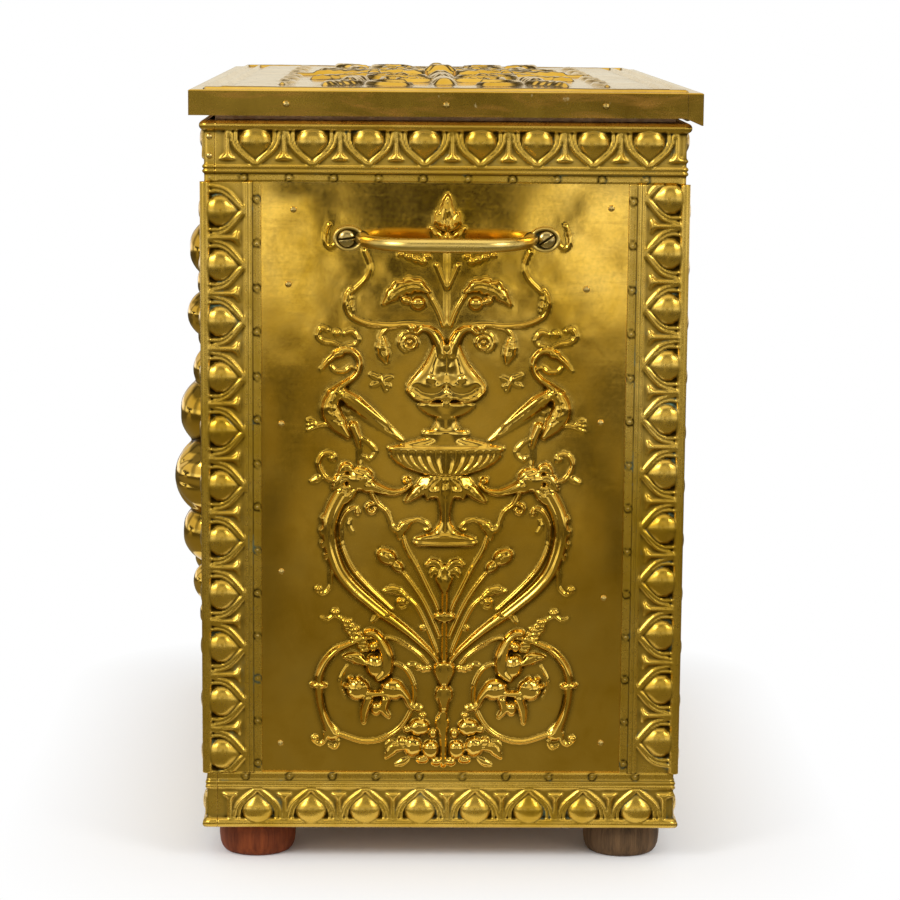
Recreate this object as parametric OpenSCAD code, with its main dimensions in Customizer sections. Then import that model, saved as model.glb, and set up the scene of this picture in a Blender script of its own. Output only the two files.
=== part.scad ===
// Kindling box: a pine case clad in embossed sheet brass, with a hinged lid, bun feet and bow handles.
// Millimetres. Z is up from the floor, X runs along the front, and the front faces -Y.

/* [Case] */
// Length of the body over its mouldings, left to right
body_length = 483; // [430:1:540]
// Depth of the body over its mouldings, front to back
body_depth = 289; // [255:1:330]
// Height of the body without its feet
body_height = 428; // [415:1:470]
// Thickness of the pine boards
board_t = 12; // [10:0.5:15]

/* [Sheet brass] */
// Thickness of the sheet brass
sheet_t = 1; // [0.7:0.1:1.3]
// Width of the embossed mouldings
moulding_w = 36; // [34:0.5:40]
// Width of the mouldings round the base
base_moulding_w = 34.5; // [33:0.5:38]
// Height of the bead on the outer edge of a moulding, above the panels
moulding_h = 5; // [4.5:0.1:6]
// Height of the ground that the eggs stand on
ground_h = 2.2; // [1.8:0.1:2.8]
// Width of the flat flange that the nails go through
flange_w = 5; // [4.5:0.1:6]
// Radius of the bead on the outer edge of a moulding
edge_bead_r = 3; // [2.6:0.1:3.4]
// Radius of the two ridges between the eggs and the flange
ridge_r = 1.2; // [1:0.1:1.5]
// How far a moulding laps round a corner
corner_lap = 9; // [7:0.5:12]

/* [Eggs and darts] */
// Distance from one egg to the next
egg_pitch = 33; // [30:0.5:38]
// Distance from the outer edge of a moulding to the middle of an egg
egg_seat = 12.6; // [12:0.1:13]
// Radius of the rim round an egg, to the middle of the rim
egg_rim_r = 8.4; // [8:0.1:8.6]
// Width of that rim
egg_rim_w = 2.8; // [2.2:0.1:3.4]
// Height of that rim and of the darts above the ground
egg_rim_h = 1.4; // [1:0.1:1.8]
// Distance from the middle of an egg to its point
egg_point = 11.8; // [11.2:0.1:12.4]
// Radius of the ball that the egg is cut from
egg_ball_r = 6.6; // [6:0.1:6.8]
// Depth of the middle of that ball under the ground
egg_ball_sink = 2.4; // [2:0.1:3]
// Radius of a dart at its stem
dart_stem_r = 1.3; // [1:0.1:1.8]
// Radius of a dart at its flared foot
dart_foot_r = 2.8; // [2:0.1:3.4]
// Shift of the eggs on the end bands towards the back
end_band_shift = 4; // [0:0.5:8]

/* [Nails] */
// Radius of a dome nail head
nail_r = 2; // [1.6:0.1:2.4]
// Height of a dome nail head
nail_h = 1.3; // [1:0.1:1.8]
// Distance from one nail to the next
nail_pitch = 26.3; // [22:0.1:34]

/* [Lid] */
// How far the lid reaches past the body on every side
lid_overhang = 5.8; // [4.5:0.1:8]
// Thickness of the pine lid board
lid_board_t = 14; // [12:0.5:18]
// How far the step under the lid board lies inside the body's outer edge
lid_step_inset = 9; // [7:0.5:12]
// Clearance between that step and the top edge of the case
lid_rest_clearance = 0.3; // [0.2:0.1:0.5]
// How far the back rim hangs below the lid board, where it is the lid's stop
back_rim_drop = 4; // [3:0.1:4.5]
// Width of the plain margin of the lid
lid_margin = 10; // [8:0.5:14]
// Distance between the ridges of the lid
lid_ridge_step = 9; // [7:0.5:12]
// Radius of the ridges of the lid
lid_ridge_r = 1.4; // [1.1:0.1:1.8]
// Height of the raised field in the middle of the lid
lid_field_h = 1.2; // [0.8:0.1:2]
// Height of the highest ornament on the lid
lid_relief_h = 9; // [7:0.5:12]

/* [Hinges] */
// Distance from the end of the body to the middle of a hinge
hinge_inset = 91.5; // [65:0.5:120]
// Length of a hinge
hinge_length = 60; // [45:1:80]
// Thickness of a hinge leaf
leaf_t = 1.3; // [1.1:0.1:1.6]
// Gap between two closed leaves
leaf_gap = 0.4; // [0.3:0.1:0.6]
// Width of a leaf from the pin to its free edge
leaf_w = 19; // [17:0.5:19.5]
// Outer radius of the knuckles
knuckle_r = 2.9; // [2.7:0.1:3.2]
// Radius of the hinge pin
pin_r = 1.4; // [1.2:0.1:1.6]
// Clearance of the pin in its knuckles, on the radius
pin_clearance = 0.05; // [0.03:0.01:0.08]
// Gap from one knuckle to the next, and from the knuckles to the case
knuckle_gap = 0.4; // [0.3:0.1:0.6]
// Shank radius of the hinge screws
hinge_screw_r = 1.5; // [1.2:0.1:1.7]
// Length of the hinge screws
hinge_screw_l = 11; // [8:0.5:13]

/* [Handles] */
// Distance of the handle screws below the top edge of the body
handle_drop = 69; // [60:1:110]
// Distance between the two screws of a handle
handle_span = 118; // [100:1:140]
// How far the grip stands out from the panel, to its middle line
handle_reach = 36; // [32:0.5:45]
// Radius of the grip at its ends
grip_end_r = 3.5; // [3:0.1:4]
// Radius of the grip in the middle
grip_mid_r = 4.2; // [4:0.1:5]
// Radius of the round ends of a handle plate
plate_r = 7.5; // [7:0.1:8.5]
// Thickness of a handle plate
plate_t = 3; // [2.4:0.1:4]
// Shank radius of the handle screws
handle_screw_r = 2.1; // [1.8:0.1:2.5]
// Length of the handle screws below the head
handle_screw_l = 14; // [10:0.5:15]

/* [Feet] */
// Widest diameter of a bun foot
foot_d = 47; // [40:1:54]
// Height of a bun foot
foot_h = 21; // [16:1:28]
// Gap from the side of a foot to the end face of the body
foot_inset_end = 8.5; // [6:0.5:14]
// Gap from the side of a foot to the front or back face of the body
foot_inset_side = 8.5; // [6:0.5:14]
// Shank radius of the foot screws
foot_screw_r = 2.2; // [1.8:0.1:2.6]
// Head radius of the foot screws
foot_screw_head_r = 4.4; // [3.8:0.1:5]
// Depth of the screw head inside the foot
foot_screw_recess = 5; // [3:0.5:7]

/* [Relief] */
// Height of the highest fruit on the front
front_relief_h = 26; // [20:0.5:30]
// Height of the urn and figures on the ends
end_relief_h = 5; // [4:0.1:6.5]
// Radius of the stems on the ends
stem_r = 1.4; // [1.1:0.1:1.8]

/* [Hidden] */
$fn = 48;

// Colours
brass = [0.62, 0.47, 0.16];
bright_brass = [0.78, 0.64, 0.30];
dark_brass = [0.36, 0.29, 0.10];
pine = [0.66, 0.49, 0.30];
mahogany = [0.42, 0.17, 0.09];
old_oak = [0.40, 0.32, 0.25];

// Clearance that makes a cut pass right through
cut = 1;
// Clearance of a screw shank in its hole, on the radius
screw_clearance = 0.05;
// Clearance between two lapped pieces of sheet
lap_clearance = 0.2;

// Levels and faces of the case
body_bottom = foot_h;
body_top = body_bottom + body_height;
case_l = body_length - 2 * (moulding_h + sheet_t);
case_d = body_depth - 2 * (moulding_h + sheet_t);
inner_l = case_l - 2 * board_t;
inner_d = case_d - 2 * board_t;
panel_x = case_l / 2 + sheet_t;
panel_y = case_d / 2 + sheet_t;
strip_bottom = body_bottom + base_moulding_w;
strip_top = body_top - moulding_w;
strip_l = strip_top - strip_bottom;

// Mouldings: the ground of a corner lies this far inside the outer edge
corner_inset = moulding_h - ground_h;
egg_half_w = egg_rim_r + egg_rim_w / 2;
dart_start = 2 * edge_bead_r + 0.4;
dart_gap = 0.8;
// Across a moulding of width w: the end of the ground, the second ridge, the eggs and the tips of the darts
function ground_end(w) = w - flange_w;
function ridge_crest(w) = ground_end(w) - 3.2 * ridge_r;
function egg_line(w) = egg_seat - (moulding_w - w);
function dart_end(w) = ridge_crest(w) - ridge_r - dart_gap;
front_band_l = body_length - 2 * corner_inset;
side_band_start = -body_depth / 2 + corner_lap;
side_band_end = body_depth / 2 - corner_inset;
side_band_l = side_band_end - side_band_start;
side_band_mid = (side_band_start + side_band_end) / 2;
back_band_l = body_length - 2 * (corner_lap + lap_clearance);
function egg_count(l) = floor((l - 2 * egg_half_w) / egg_pitch) + 1;

// Lid
lid_gap = 2 * leaf_t + leaf_gap;
lid_bottom = body_top + lid_gap;
lid_board_top = lid_bottom + lid_board_t;
lid_top = lid_board_top + sheet_t;
lid_l = body_length + 2 * lid_overhang;
lid_d = body_depth + 2 * lid_overhang;
lid_field_inset = lid_margin + 2 * lid_ridge_step - 3;
lid_tab_w = corner_lap;
// The lid's ornament is drawn for a lid of this size
drawn_lid_l = 494.6;
drawn_lid_d = 300.6;
lid_fit = min(lid_l / drawn_lid_l, lid_d / drawn_lid_d);

// Hinges: the pin lies behind the body, level with the gap between the leaves
hinge_offset = body_length / 2 - hinge_inset;
pin_y = body_depth / 2 + knuckle_gap + knuckle_r;
pin_z = body_top + leaf_t + leaf_gap / 2;
leaf_edge_y = pin_y - leaf_w;
knuckle_count = 5;
knuckle_l = (hinge_length - (knuckle_count - 1) * knuckle_gap) / knuckle_count;
knuckle_clear_r = knuckle_r + knuckle_gap;
hinge_screw_y = (leaf_edge_y + case_d / 2) / 2;
hinge_screw_head_r = 2 * hinge_screw_r - 0.2;
hinge_screw_step = hinge_length / 3;

// Handles: the grip rises in a quarter circle from each plate
handle_z = body_top - handle_drop;
handle_mid = 1;
grip_root = handle_span / 2 - 9;
bend_r = handle_reach - plate_t;
grip_droop = 1.5;
handle_head_r = 5;
handle_head_h = 2.6;

// Feet
foot_x = body_length / 2 - foot_inset_end - foot_d / 2;
foot_y = body_depth / 2 - foot_inset_side - foot_d / 2;
foot_top_r = foot_d / 2 - 2;
foot_screw_l = foot_h - foot_screw_recess + board_t - 3;

// The box is centred on its own outline, which the front fruit and the hinges make uneven
front_reach = panel_y + front_relief_h;
back_reach = max(pin_y + knuckle_r, lid_d / 2);
body_mid_y = (front_reach - back_reach) / 2;

// Placing

module on_body() {
    translate([0, body_mid_y, 0]) children();
}

// Local x runs across the face, y up from the floor and z out of the panel
module on_front() {
    translate([0, -panel_y, 0]) rotate([90, 0, 0]) children();
}

module on_back() {
    rotate([0, 0, 180]) on_front() children();
}

module on_end(side) {
    rotate([0, 0, side > 0 ? 0 : 180]) translate([panel_x, 0, 0]) rotate([90, 0, 90]) children();
}

module flip_x(side) {
    if (side > 0) children();
    else mirror([1, 0, 0]) children();
}

module flip_y(side) {
    if (side < 0) children();
    else mirror([0, 1, 0]) children();
}

// The case with its panels, which the mouldings are cut back to
module case_block() {
    translate([-panel_x, -panel_y, body_bottom - 2 * cut])
        cube([2 * panel_x, 2 * panel_y, body_height + 4 * cut]);
}

// Boards

module board(l, d, h) {
    translate([-l / 2, -d / 2, 0]) cube([l, d, h]);
}

module bottom_board() {
    on_body() color(pine) difference() {
        translate([0, 0, body_bottom]) board(inner_l, inner_d, board_t);
        foot_screw_holes();
    }
}

module front_board() {
    on_body() color(pine) translate([0, -(case_d - board_t) / 2, body_bottom])
        board(case_l, board_t, body_height);
}

module back_board() {
    on_body() color(pine) difference() {
        translate([0, (case_d - board_t) / 2, body_bottom]) board(case_l, board_t, body_height);
        hinge_screw_places() translate([0, 0, body_top - hinge_screw_l])
            cylinder(r = hinge_screw_r + screw_clearance, h = hinge_screw_l + cut);
    }
}

module end_board(side) {
    on_body() color(pine) difference() {
        translate([side * (case_l - board_t) / 2, 0, body_bottom]) board(board_t, inner_d, body_height);
        handle_screw_holes(side);
    }
}

// Egg and dart moulding: x runs along it, y inwards from its outer edge and z out of the panel

// A drop outline: a round of radius r whose tangents meet at a point
function drop_angle(r, point) = acos(r / point);
function drop_outline(r, point, n) = let (a = drop_angle(r, point)) concat(
    [[0, point]],
    [for (i = [0 : n]) let (t = 90 + a + i * (360 - 2 * a) / n) [r * cos(t), r * sin(t)]]
);

// The rim round an egg is a raised band with a drop outline, open in the middle
module egg_rim() {
    n = 12;
    outer = drop_outline(egg_rim_r + egg_rim_w / 2, egg_point + egg_rim_w * 0.7, n);
    inner = drop_outline(egg_rim_r - egg_rim_w / 2, egg_point - egg_rim_w * 0.9, n);
    linear_extrude(height = egg_rim_h) polygon(
        points = concat(outer, inner),
        paths = [[for (i = [0 : n + 1]) i], [for (i = [0 : n + 1]) n + 2 + i]]
    );
}

// The egg itself is a drop of revolution, sunk into the ground
module egg_drop() {
    n = 4;
    a = drop_angle(egg_ball_r, egg_point - 2);
    translate([0, 0, -egg_ball_sink]) rotate([-90, 0, 0]) rotate_extrude() polygon(concat(
        [for (i = [0 : n]) let (t = -90 + i * (180 - a) / n) [egg_ball_r * cos(t), egg_ball_r * sin(t)]],
        [[0, egg_point - 2]]
    ));
}

module egg() {
    egg_rim();
    difference() {
        egg_drop();
        translate([-egg_ball_r - cut, -egg_ball_r - cut, -3 * egg_ball_r])
            cube([2 * egg_ball_r + 2 * cut, 4 * egg_ball_r, 3 * egg_ball_r]);
    }
}

module dart(w) {
    l = dart_end(w) - dart_start;
    translate([0, dart_start, 0]) linear_extrude(height = egg_rim_h) polygon([
        [-dart_stem_r, 0], [dart_stem_r, 0], [dart_stem_r, 0.55 * l], [dart_foot_r, 0.9 * l],
        [dart_foot_r - 0.6, l], [0.6 - dart_foot_r, l], [-dart_foot_r, 0.9 * l], [-dart_stem_r, 0.55 * l]
    ]);
}

module moulding_run(l, w) {
    translate([0, edge_bead_r, 0]) cube([l, w - edge_bead_r, sheet_t]);
    translate([0, edge_bead_r, 0]) cube([l, ground_end(w) - edge_bead_r, ground_h]);
    translate([0, edge_bead_r, moulding_h - edge_bead_r]) rotate([0, 90, 0])
        cylinder(r = edge_bead_r, h = l);
    for (y = [ground_end(w) - ridge_r, ridge_crest(w)])
        translate([0, y, ground_h]) rotate([0, 90, 0]) cylinder(r = ridge_r, h = l);
}

module moulding(l, w, first, count) {
    moulding_run(l, w);
    for (i = [0 : count - 1]) translate([first + i * egg_pitch, 0, ground_h]) {
        translate([0, egg_line(w), 0]) egg();
        if (first + (i + 0.5) * egg_pitch < l - dart_foot_r) translate([egg_pitch / 2, 0, 0]) dart(w);
    }
}

// A run that is centred on its own length
module centred_moulding(l, w, shift = 0) {
    count = egg_count(l);
    translate([-l / 2, 0, 0]) moulding(l, w, (l - (count - 1) * egg_pitch) / 2 + shift, count);
}

// The vertical strips start at the top band and run down
module strip_leg() {
    first = egg_pitch / 2;
    rotate([0, 0, -90]) moulding(strip_l, moulding_w, first, egg_count(strip_l - first + egg_half_w));
}

module corner_strip(side_x, side_y) {
    on_body() color(brass) flip_x(side_x) flip_y(side_y) difference() {
        union() {
            on_end(1) translate([-body_depth / 2, strip_top, 0]) strip_leg();
            on_front() translate([body_length / 2, strip_top, 0]) mirror([1, 0, 0]) strip_leg();
        }
        case_block();
    }
}

// The bead turns the corner on a ball
module bead_corner(z) {
    translate([body_length / 2 - edge_bead_r, -body_depth / 2 + edge_bead_r, z]) sphere(r = edge_bead_r);
}

// Local placing of a band: the top bands hang from the body's top edge, the base bands stand on its lower one
module at_band(top) {
    if (top) translate([0, body_top, 0]) mirror([0, 1, 0]) children();
    else translate([0, body_bottom, 0]) children();
}

function band_w(top) = top ? moulding_w : base_moulding_w;
function bead_z(top) = top ? body_top - edge_bead_r : body_bottom + edge_bead_r;

module front_band(top) {
    on_body() color(brass) difference() {
        union() {
            on_front() at_band(top) centred_moulding(front_band_l, band_w(top));
            for (side = [-1, 1]) flip_x(side) {
                on_end(1) at_band(top) translate([-body_depth / 2 + corner_inset, 0, 0])
                    moulding_run(corner_lap - corner_inset - lap_clearance, band_w(top));
                bead_corner(bead_z(top));
            }
        }
        case_block();
    }
}

module side_band(side, top) {
    on_body() color(brass) flip_x(side) difference() {
        union() {
            on_end(1) at_band(top) translate([side_band_mid, 0, 0])
                centred_moulding(side_band_l, band_w(top), end_band_shift - side_band_mid);
            on_back() at_band(top) translate([-body_length / 2 + corner_inset, 0, 0])
                moulding_run(corner_lap - corner_inset, band_w(top));
            mirror([0, 1, 0]) bead_corner(bead_z(top));
        }
        case_block();
    }
}

module back_band(top) {
    on_body() color(brass) difference() {
        on_back() at_band(top) centred_moulding(back_band_l, band_w(top));
        case_block();
    }
}

// Low relief
// A turned form in low relief has its axis behind the panel: its half width w shows where its radius passes
// the panel's face, and it stands h high where it is w_max wide.

function turning_sink(w_max, h) = (w_max * w_max - h * h) / (2 * h);
function turned(w, sink) = sqrt(w * w + sink * sink);

// Profile rows are [half width, height up the panel]
module turned_relief(w_max, h, rows) {
    sink = turning_sink(w_max, h);
    n = len(rows);
    translate([0, 0, -sink]) rotate([-90, 0, 0]) rotate_extrude() polygon(concat(
        [[0, rows[0][1]]],
        [for (i = [0 : n - 1]) [turned(rows[i][0], sink), rows[i][1]]],
        [[0, rows[n - 1][1]]]
    ));
}

// A round boss of radius r that stands h high
module boss(x, y, r, h) {
    ball = (r * r + h * h) / (2 * h);
    translate([x, y, h - ball]) sphere(r = ball);
}

// A tapered rod between two points in space
module rod(a, b, r1, r2) {
    d = b - a;
    translate(a) rotate([0, acos(d[2] / norm(d)), atan2(d[1], d[0])])
        cylinder(r1 = r1, r2 = r2, h = norm(d));
}

// A tapered stroke between two points of the panel, half sunk
module stroke(a, b, r1, r2) {
    rod([a[0], a[1], 0], [b[0], b[1], 0], r1, r2);
}

// Flutes that lie along a turned form, from its half width and height at the top to those at the foot
module flutes(count, top, foot, w_max, h, r1, r2) {
    sink = turning_sink(w_max, h);
    spread = 0.82;
    bed = 0.45;
    function on_form(row, share, r) = let (x = row[0] * share * spread)
        [x, row[1], sqrt(row[0] * row[0] + sink * sink - x * x) - sink - bed * r];
    for (i = [-count : count]) rod(on_form(top, i / count, r1), on_form(foot, i / count, r2), r1, r2);
}

// A curved stroke round centre c, from one angle through a sweep
module curl(c, r, start, sweep, tube) {
    translate([c[0], c[1], 0]) rotate([0, 0, start]) rotate_extrude(angle = sweep)
        translate([r, 0]) circle(r = tube);
}

// A full ring
module ring(c, r, tube) {
    translate([c[0], c[1], 0]) rotate_extrude() translate([r, 0]) circle(r = tube);
}

module pair() {
    children();
    mirror([1, 0, 0]) children();
}

module cluster(c, step, r, h, rows) {
    for (j = [0 : rows - 1]) for (i = [0 : rows - 1 - j])
        boss(c[0] + (i - (rows - 1 - j) / 2) * step, c[1] - j * step * 0.86, r, h);
}

// A long necked wading bird, facing away from the urn
module heron(h) {
    boss(-62, 283, 8, h);
    boss(-67, 284, 6, h * 0.9);
    stroke([-60, 284], [-28, 265], 6, 1);
    curl([-58, 306], 8.2, -75, 175, 1.8);
    stroke([-56, 298.2], [-67, 289], 1.9, 3.4);
    boss(-62, 313.5, 3.8, h * 0.6);
    stroke([-64, 312.5], [-73, 305.5], 1.6, 0.6);
    stroke([-52, 269], [-50, 245], 1.7, 0.9);
    stroke([-61, 268], [-70, 271], 1.4, 0.8);
}

// A scrolled beast: head, curled jaw, body and tail
module scroll_beast(h) {
    boss(-51, 235, 9, h);
    stroke([-46, 233.5], [-25, 231], 4, 1.6);
    ring([-42, 219.5], 4.6, 1.2);
    boss(-62, 237, 4.5, h * 0.6);
    curl([-70.5, 246], 8, 90, 185, 1.2);
    curl([-46, 203], 21.5, 118, 108, 6);
    boss(-61.2, 187.8, 6.8, h * 0.95);
    stroke([-61, 188], [-2, 128.5], 5.6, 1.6);
    curl([-69, 176], 5, -80, 150, 1);
}

// Stems that rise from the middle column, each ending in a pod or a leaf
module garden_stems(h) {
    stroke([-1, 158.5], [-26, 184], stem_r, stem_r + 0.3);
    boss(-26, 184.5, 4, h * 0.6);
    boss(-33, 190, 7, h);
    boss(-38, 192, 5, h * 0.8);
    curl([-3, 205], 20.5, 160, 45, stem_r);
    stroke([-19.5, 192.8], [-1, 169.2], stem_r, stem_r);
    stroke([-33, 174], [-21.5, 171.5], 2.6, 1.6);
    stroke([-20.5, 170.3], [-1, 135], stem_r, stem_r);
}

// A small seated figure and its grapes inside the lower scroll
module vine_figure(h) {
    boss(-51, 107, 7.4, h);
    boss(-39.5, 121, 7.8, h * 0.96);
    stroke([-35.5, 134], [-40, 141], 2.2, 1.9);
    boss(-33, 106, 7, h * 0.93);
    stroke([-26.5, 107], [-19.5, 96], 3, 2);
    boss(-46, 93, 6.2, h * 0.8);
    boss(-35.5, 92, 4.3, h * 0.7);
    boss(-54.5, 145.5, 5.4, h * 0.5);
    boss(-48.5, 137, 4.4, h * 0.5);
    curl([-44, 103], 28.5, 60, 246, stem_r);
}

module lower_scroll(h) {
    curl([-40, 106], 35, 68, 104, stem_r * 1.4);
    stroke([-25, 136.5], [-7, 124.5], stem_r * 1.2, stem_r);
    boss(-75, 108, 4.6, h * 0.7);
    stroke([-74.6, 105], [-70.6, 91.5], 1.8, 1.6);
    boss(-69.6, 89, 2.8, h * 0.5);
    stroke([-68.4, 87.4], [-62, 79], 1.5, 2.8);
}

module urn(h) {
    turned_relief(24, h, [[3, 328], [6, 322], [9, 314], [13, 308], [19, 300], [23, 293], [21, 287.5],
        [4, 284]]);
    pair() boss(-13, 291, 8.5, h * 1.1);
    turned_relief(17, h, [[16, 282], [16.8, 280.5], [15, 279], [13, 275.5], [7, 274]]);
    turned_relief(8, h * 0.8, [[7, 275], [6.4, 267], [9, 265]]);
    turned_relief(14, h * 0.8, [[13.5, 265], [13.5, 261], [11, 260]]);
    turned_relief(34, h * 1.15, [[12, 261], [30, 257], [34, 255.5], [34, 252], [31, 249], [27, 245],
        [20, 241],
        [16, 239]]);
    flutes(5, [34, 252], [22, 242], 34, h * 1.15, 1.9, 1.1);
    turned_relief(18, h, [[8, 239], [16, 235], [17.5, 230], [12, 226], [6, 224]]);
    pair() stroke([-16, 230], [-30, 223.5], 2.4, 1);
    turned_relief(7, h * 0.7, [[6, 225], [2.8, 216], [3.4, 208], [6.5, 203]]);
    turned_relief(19, h * 0.8, [[6, 204], [12, 202], [18.5, 200.5], [18.5, 196.5], [17, 196]]);
}

module top_sprays(h) {
    boss(0, 401, 3.6, h * 0.6);
    boss(0, 393.5, 5, h * 0.8);
    boss(0, 384.5, 6.5, h);
    stroke([0, 371], [0, 330], stem_r, stem_r);
    pair() {
        stroke([-8, 369], [-3, 354], stem_r, stem_r * 0.8);
        boss(-22, 370, 4, h * 0.7);
        boss(-14, 369, 3, h * 0.6);
        curl([-47, 343.5], 12.5, 96, 168, stem_r);
        stroke([-45.5, 331.2], [-31, 331.2], stem_r * 0.9, stem_r * 0.9);
        stroke([-46.6, 358], [-44.5, 371], stem_r, stem_r * 0.8);
        boss(-32, 346, 4.6, h * 0.7);
        boss(-23, 347.5, 5.6, h);
        boss(-14, 345, 4.6, h * 0.8);
        stroke([-9, 342.5], [-3, 333], stem_r, stem_r);
        ring([-20, 321], 5.4, stem_r * 0.8);
        boss(-37, 318, 5, h * 0.7);
        stroke([-28, 329.6], [-33, 323.5], stem_r * 0.8, stem_r * 0.8);
    }
}

module base_fruit(h) {
    pair() {
        boss(-6.5, 69, 6.4, h);
        boss(-17.5, 70, 6.6, h);
        boss(-13, 81, 7.2, h * 1.1);
        boss(-30, 70, 3.4, h * 0.7);
        stroke([-30, 65], [-35, 58.5], 2, 1);
    }
    stroke([0, 184], [0, 90], 2.2, 2.2);
    turned_relief(6, h * 0.6, [[4, 128], [6, 122], [5.6, 118], [2.6, 113]]);
    turned_relief(6, h * 0.6, [[4, 113], [6, 108], [5.6, 104], [2.6, 99]]);
    boss(0, 187, 6, h * 0.7);
    pair() boss(-8, 186.5, 4.6, h * 0.5);
    boss(0, 155, 4.4, h * 0.6);
}

// Centre line of the end panels' ornament, a little towards the back
relief_mid = 1.5;
// The ornament is drawn for an opening of this size between the mouldings, whose middle is this high
drawn_end_w = 217;
drawn_front_w = 411;
drawn_h = 357.5;
drawn_mid = 234.25;
opening_mid = (strip_bottom + strip_top) / 2;
function opening_w(face_w) = face_w - 2 * moulding_w;
end_fit = min(opening_w(body_depth) / drawn_end_w, strip_l / drawn_h);
front_fit = min(opening_w(body_length) / drawn_front_w, strip_l / drawn_h);
function in_opening(p, fit) = [p[0] * fit, opening_mid + (p[1] - drawn_mid) * fit];

// Fits a drawing to the opening of its panel
module fitted(fit) {
    translate([0, opening_mid, 0]) scale(fit) translate([0, -drawn_mid, 0]) children();
}

module end_ornament(h) {
    translate([relief_mid, 0, 0]) {
        urn(h);
        top_sprays(h);
        base_fruit(h);
        pair() {
            heron(h);
            scroll_beast(h);
            garden_stems(h);
            lower_scroll(h);
            vine_figure(h);
        }
    }
}

// High relief of the front: an urn of fruit between two drops of fruit, all a design of its own

// Half widths of a leaf along its length, both as shares
leaf_shape = [[0.3, 0], [0.9, 0.25], [1, 0.45], [0.75, 0.75], [0.12, 1]];

// A leaf in relief from its stalk to its tip, of half width w and height h
module leaf(stalk, tip, w, h) {
    d = tip - stalk;
    translate([stalk[0], stalk[1], 0]) rotate([0, 0, atan2(d[1], d[0]) - 90])
        turned_relief(w, h, [for (row = leaf_shape) [row[0] * w, row[1] * norm(d)]]);
}

module fruit_drop(h) {
    boss(160, 389, 9, h * 0.36);
    boss(163, 367, 20, h * 0.64);
    boss(150, 345, 15, h * 0.5);
    boss(165, 327, 16, h * 0.68);
    boss(146, 312, 14, h * 0.5);
    boss(162, 292, 17, h * 0.56);
    boss(158, 265, 24, h * 0.9);
    boss(164, 226, 27, h);
    boss(140, 243, 13, h * 0.6);
    boss(160, 190, 21, h * 0.84);
    boss(145, 172, 13, h * 0.6);
    boss(162, 158, 14, h * 0.58);
    boss(155, 136, 11, h * 0.46);
    boss(155, 118, 8, h * 0.34);
    for (y = [384, 352, 304, 276, 250, 210, 178, 146]) {
        leaf([151, y], [124, y + 12], 8, h * 0.28);
        leaf([166, y - 4], [192, y + 8], 8, h * 0.28);
    }
    leaf([155, 112], [143, 86], 7, h * 0.25);
    leaf([155, 112], [168, 87], 7, h * 0.25);
}

module fruit_urn(h) {
    turned_relief(36, h * 0.62, [[30, 96], [36, 100], [36, 106], [22, 112], [12, 122]]);
    turned_relief(16, h * 0.42, [[12, 121], [14, 132], [16, 136]]);
    turned_relief(58, h * 0.8, [[14, 131], [36, 144], [52, 164], [58, 188], [56, 200], [60, 204],
        [60, 212], [50, 214]]);
    flutes(4, [57, 197], [33, 143], 58, h * 0.8, 4.4, 2.2);
    boss(0, 268, 17, h * 0.7);
    boss(0, 298, 14, h * 0.6);
    leaf([0, 306], [0, 340], 9, h * 0.27);
    pair() {
        boss(40, 226, 18, h * 0.62);
        boss(14, 236, 20, h * 0.78);
        boss(30, 262, 18, h * 0.66);
        boss(55, 248, 12, h * 0.5);
        ring([78, 188], 16, 3.4);
        leaf([44, 262], [74, 300], 11, h * 0.3);
        leaf([60, 236], [94, 250], 9, h * 0.27);
        leaf([14, 288], [26, 334], 11, h * 0.3);
        cluster([90, 246], 10.6, 5.6, h * 0.3, 3);
    }
}

module front_scrolls(h) {
    pair() {
        ring([62, 370], 22, 3.2);
        boss(62, 370, 9, h * 0.33);
        ring([88, 120], 24, 3.2);
        boss(88, 120, 9, h * 0.33);
        stroke([40, 372], [14, 356], 3, 4.5);
        stroke([64, 120], [30, 98], 3, 5);
        leaf([62, 345], [72, 306], 10, h * 0.25);
        leaf([98, 145], [108, 184], 10, h * 0.25);
        leaf([88, 372], [118, 374], 8, h * 0.2);
        leaf([92, 350], [114, 318], 8, h * 0.2);
        leaf([112, 108], [134, 80], 8, h * 0.2);
    }
    leaf([0, 88], [0, 64], 8, h * 0.2);
    boss(0, 362, 15, h * 0.52);
    for (a = [0 : 45 : 315]) boss(19 * cos(a), 362 + 19 * sin(a), 7.5, h * 0.3);
}

module front_ornament(h) {
    fruit_urn(h);
    front_scrolls(h);
    pair() fruit_drop(h);
}

// Panels

module sheet_slab(w) {
    translate([-w / 2, body_bottom, -sheet_t]) cube([w, body_height, sheet_t]);
}

// A sheet with its relief, cut flat behind
module embossed_sheet(w) {
    difference() {
        union() {
            sheet_slab(w);
            children();
        }
        translate([-w, -body_top, -sheet_t - body_top]) cube([2 * w, 3 * body_top, body_top]);
    }
}

module front_panel() {
    on_body() color(brass) on_front() embossed_sheet(case_l)
        fitted(front_fit) front_ornament(front_relief_h / front_fit);
}

module back_panel() {
    on_body() color(brass) on_back() sheet_slab(case_l);
}

module end_panel(side) {
    on_body() color(brass) difference() {
        on_end(side) embossed_sheet(2 * panel_y) fitted(end_fit) end_ornament(end_relief_h / end_fit);
        handle_screw_holes(side);
    }
}

// Nails

module nail() {
    rotate_extrude() polygon([[0, 0], [nail_r, 0], [0.75 * nail_r, 0.65 * nail_h], [0, nail_h]]);
}

// A row of nails along x, centred
module nail_row(l, y) {
    count = floor(l / nail_pitch) + 1;
    for (i = [0 : count - 1]) translate([(i - (count - 1) / 2) * nail_pitch, y, sheet_t]) nail();
}

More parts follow.
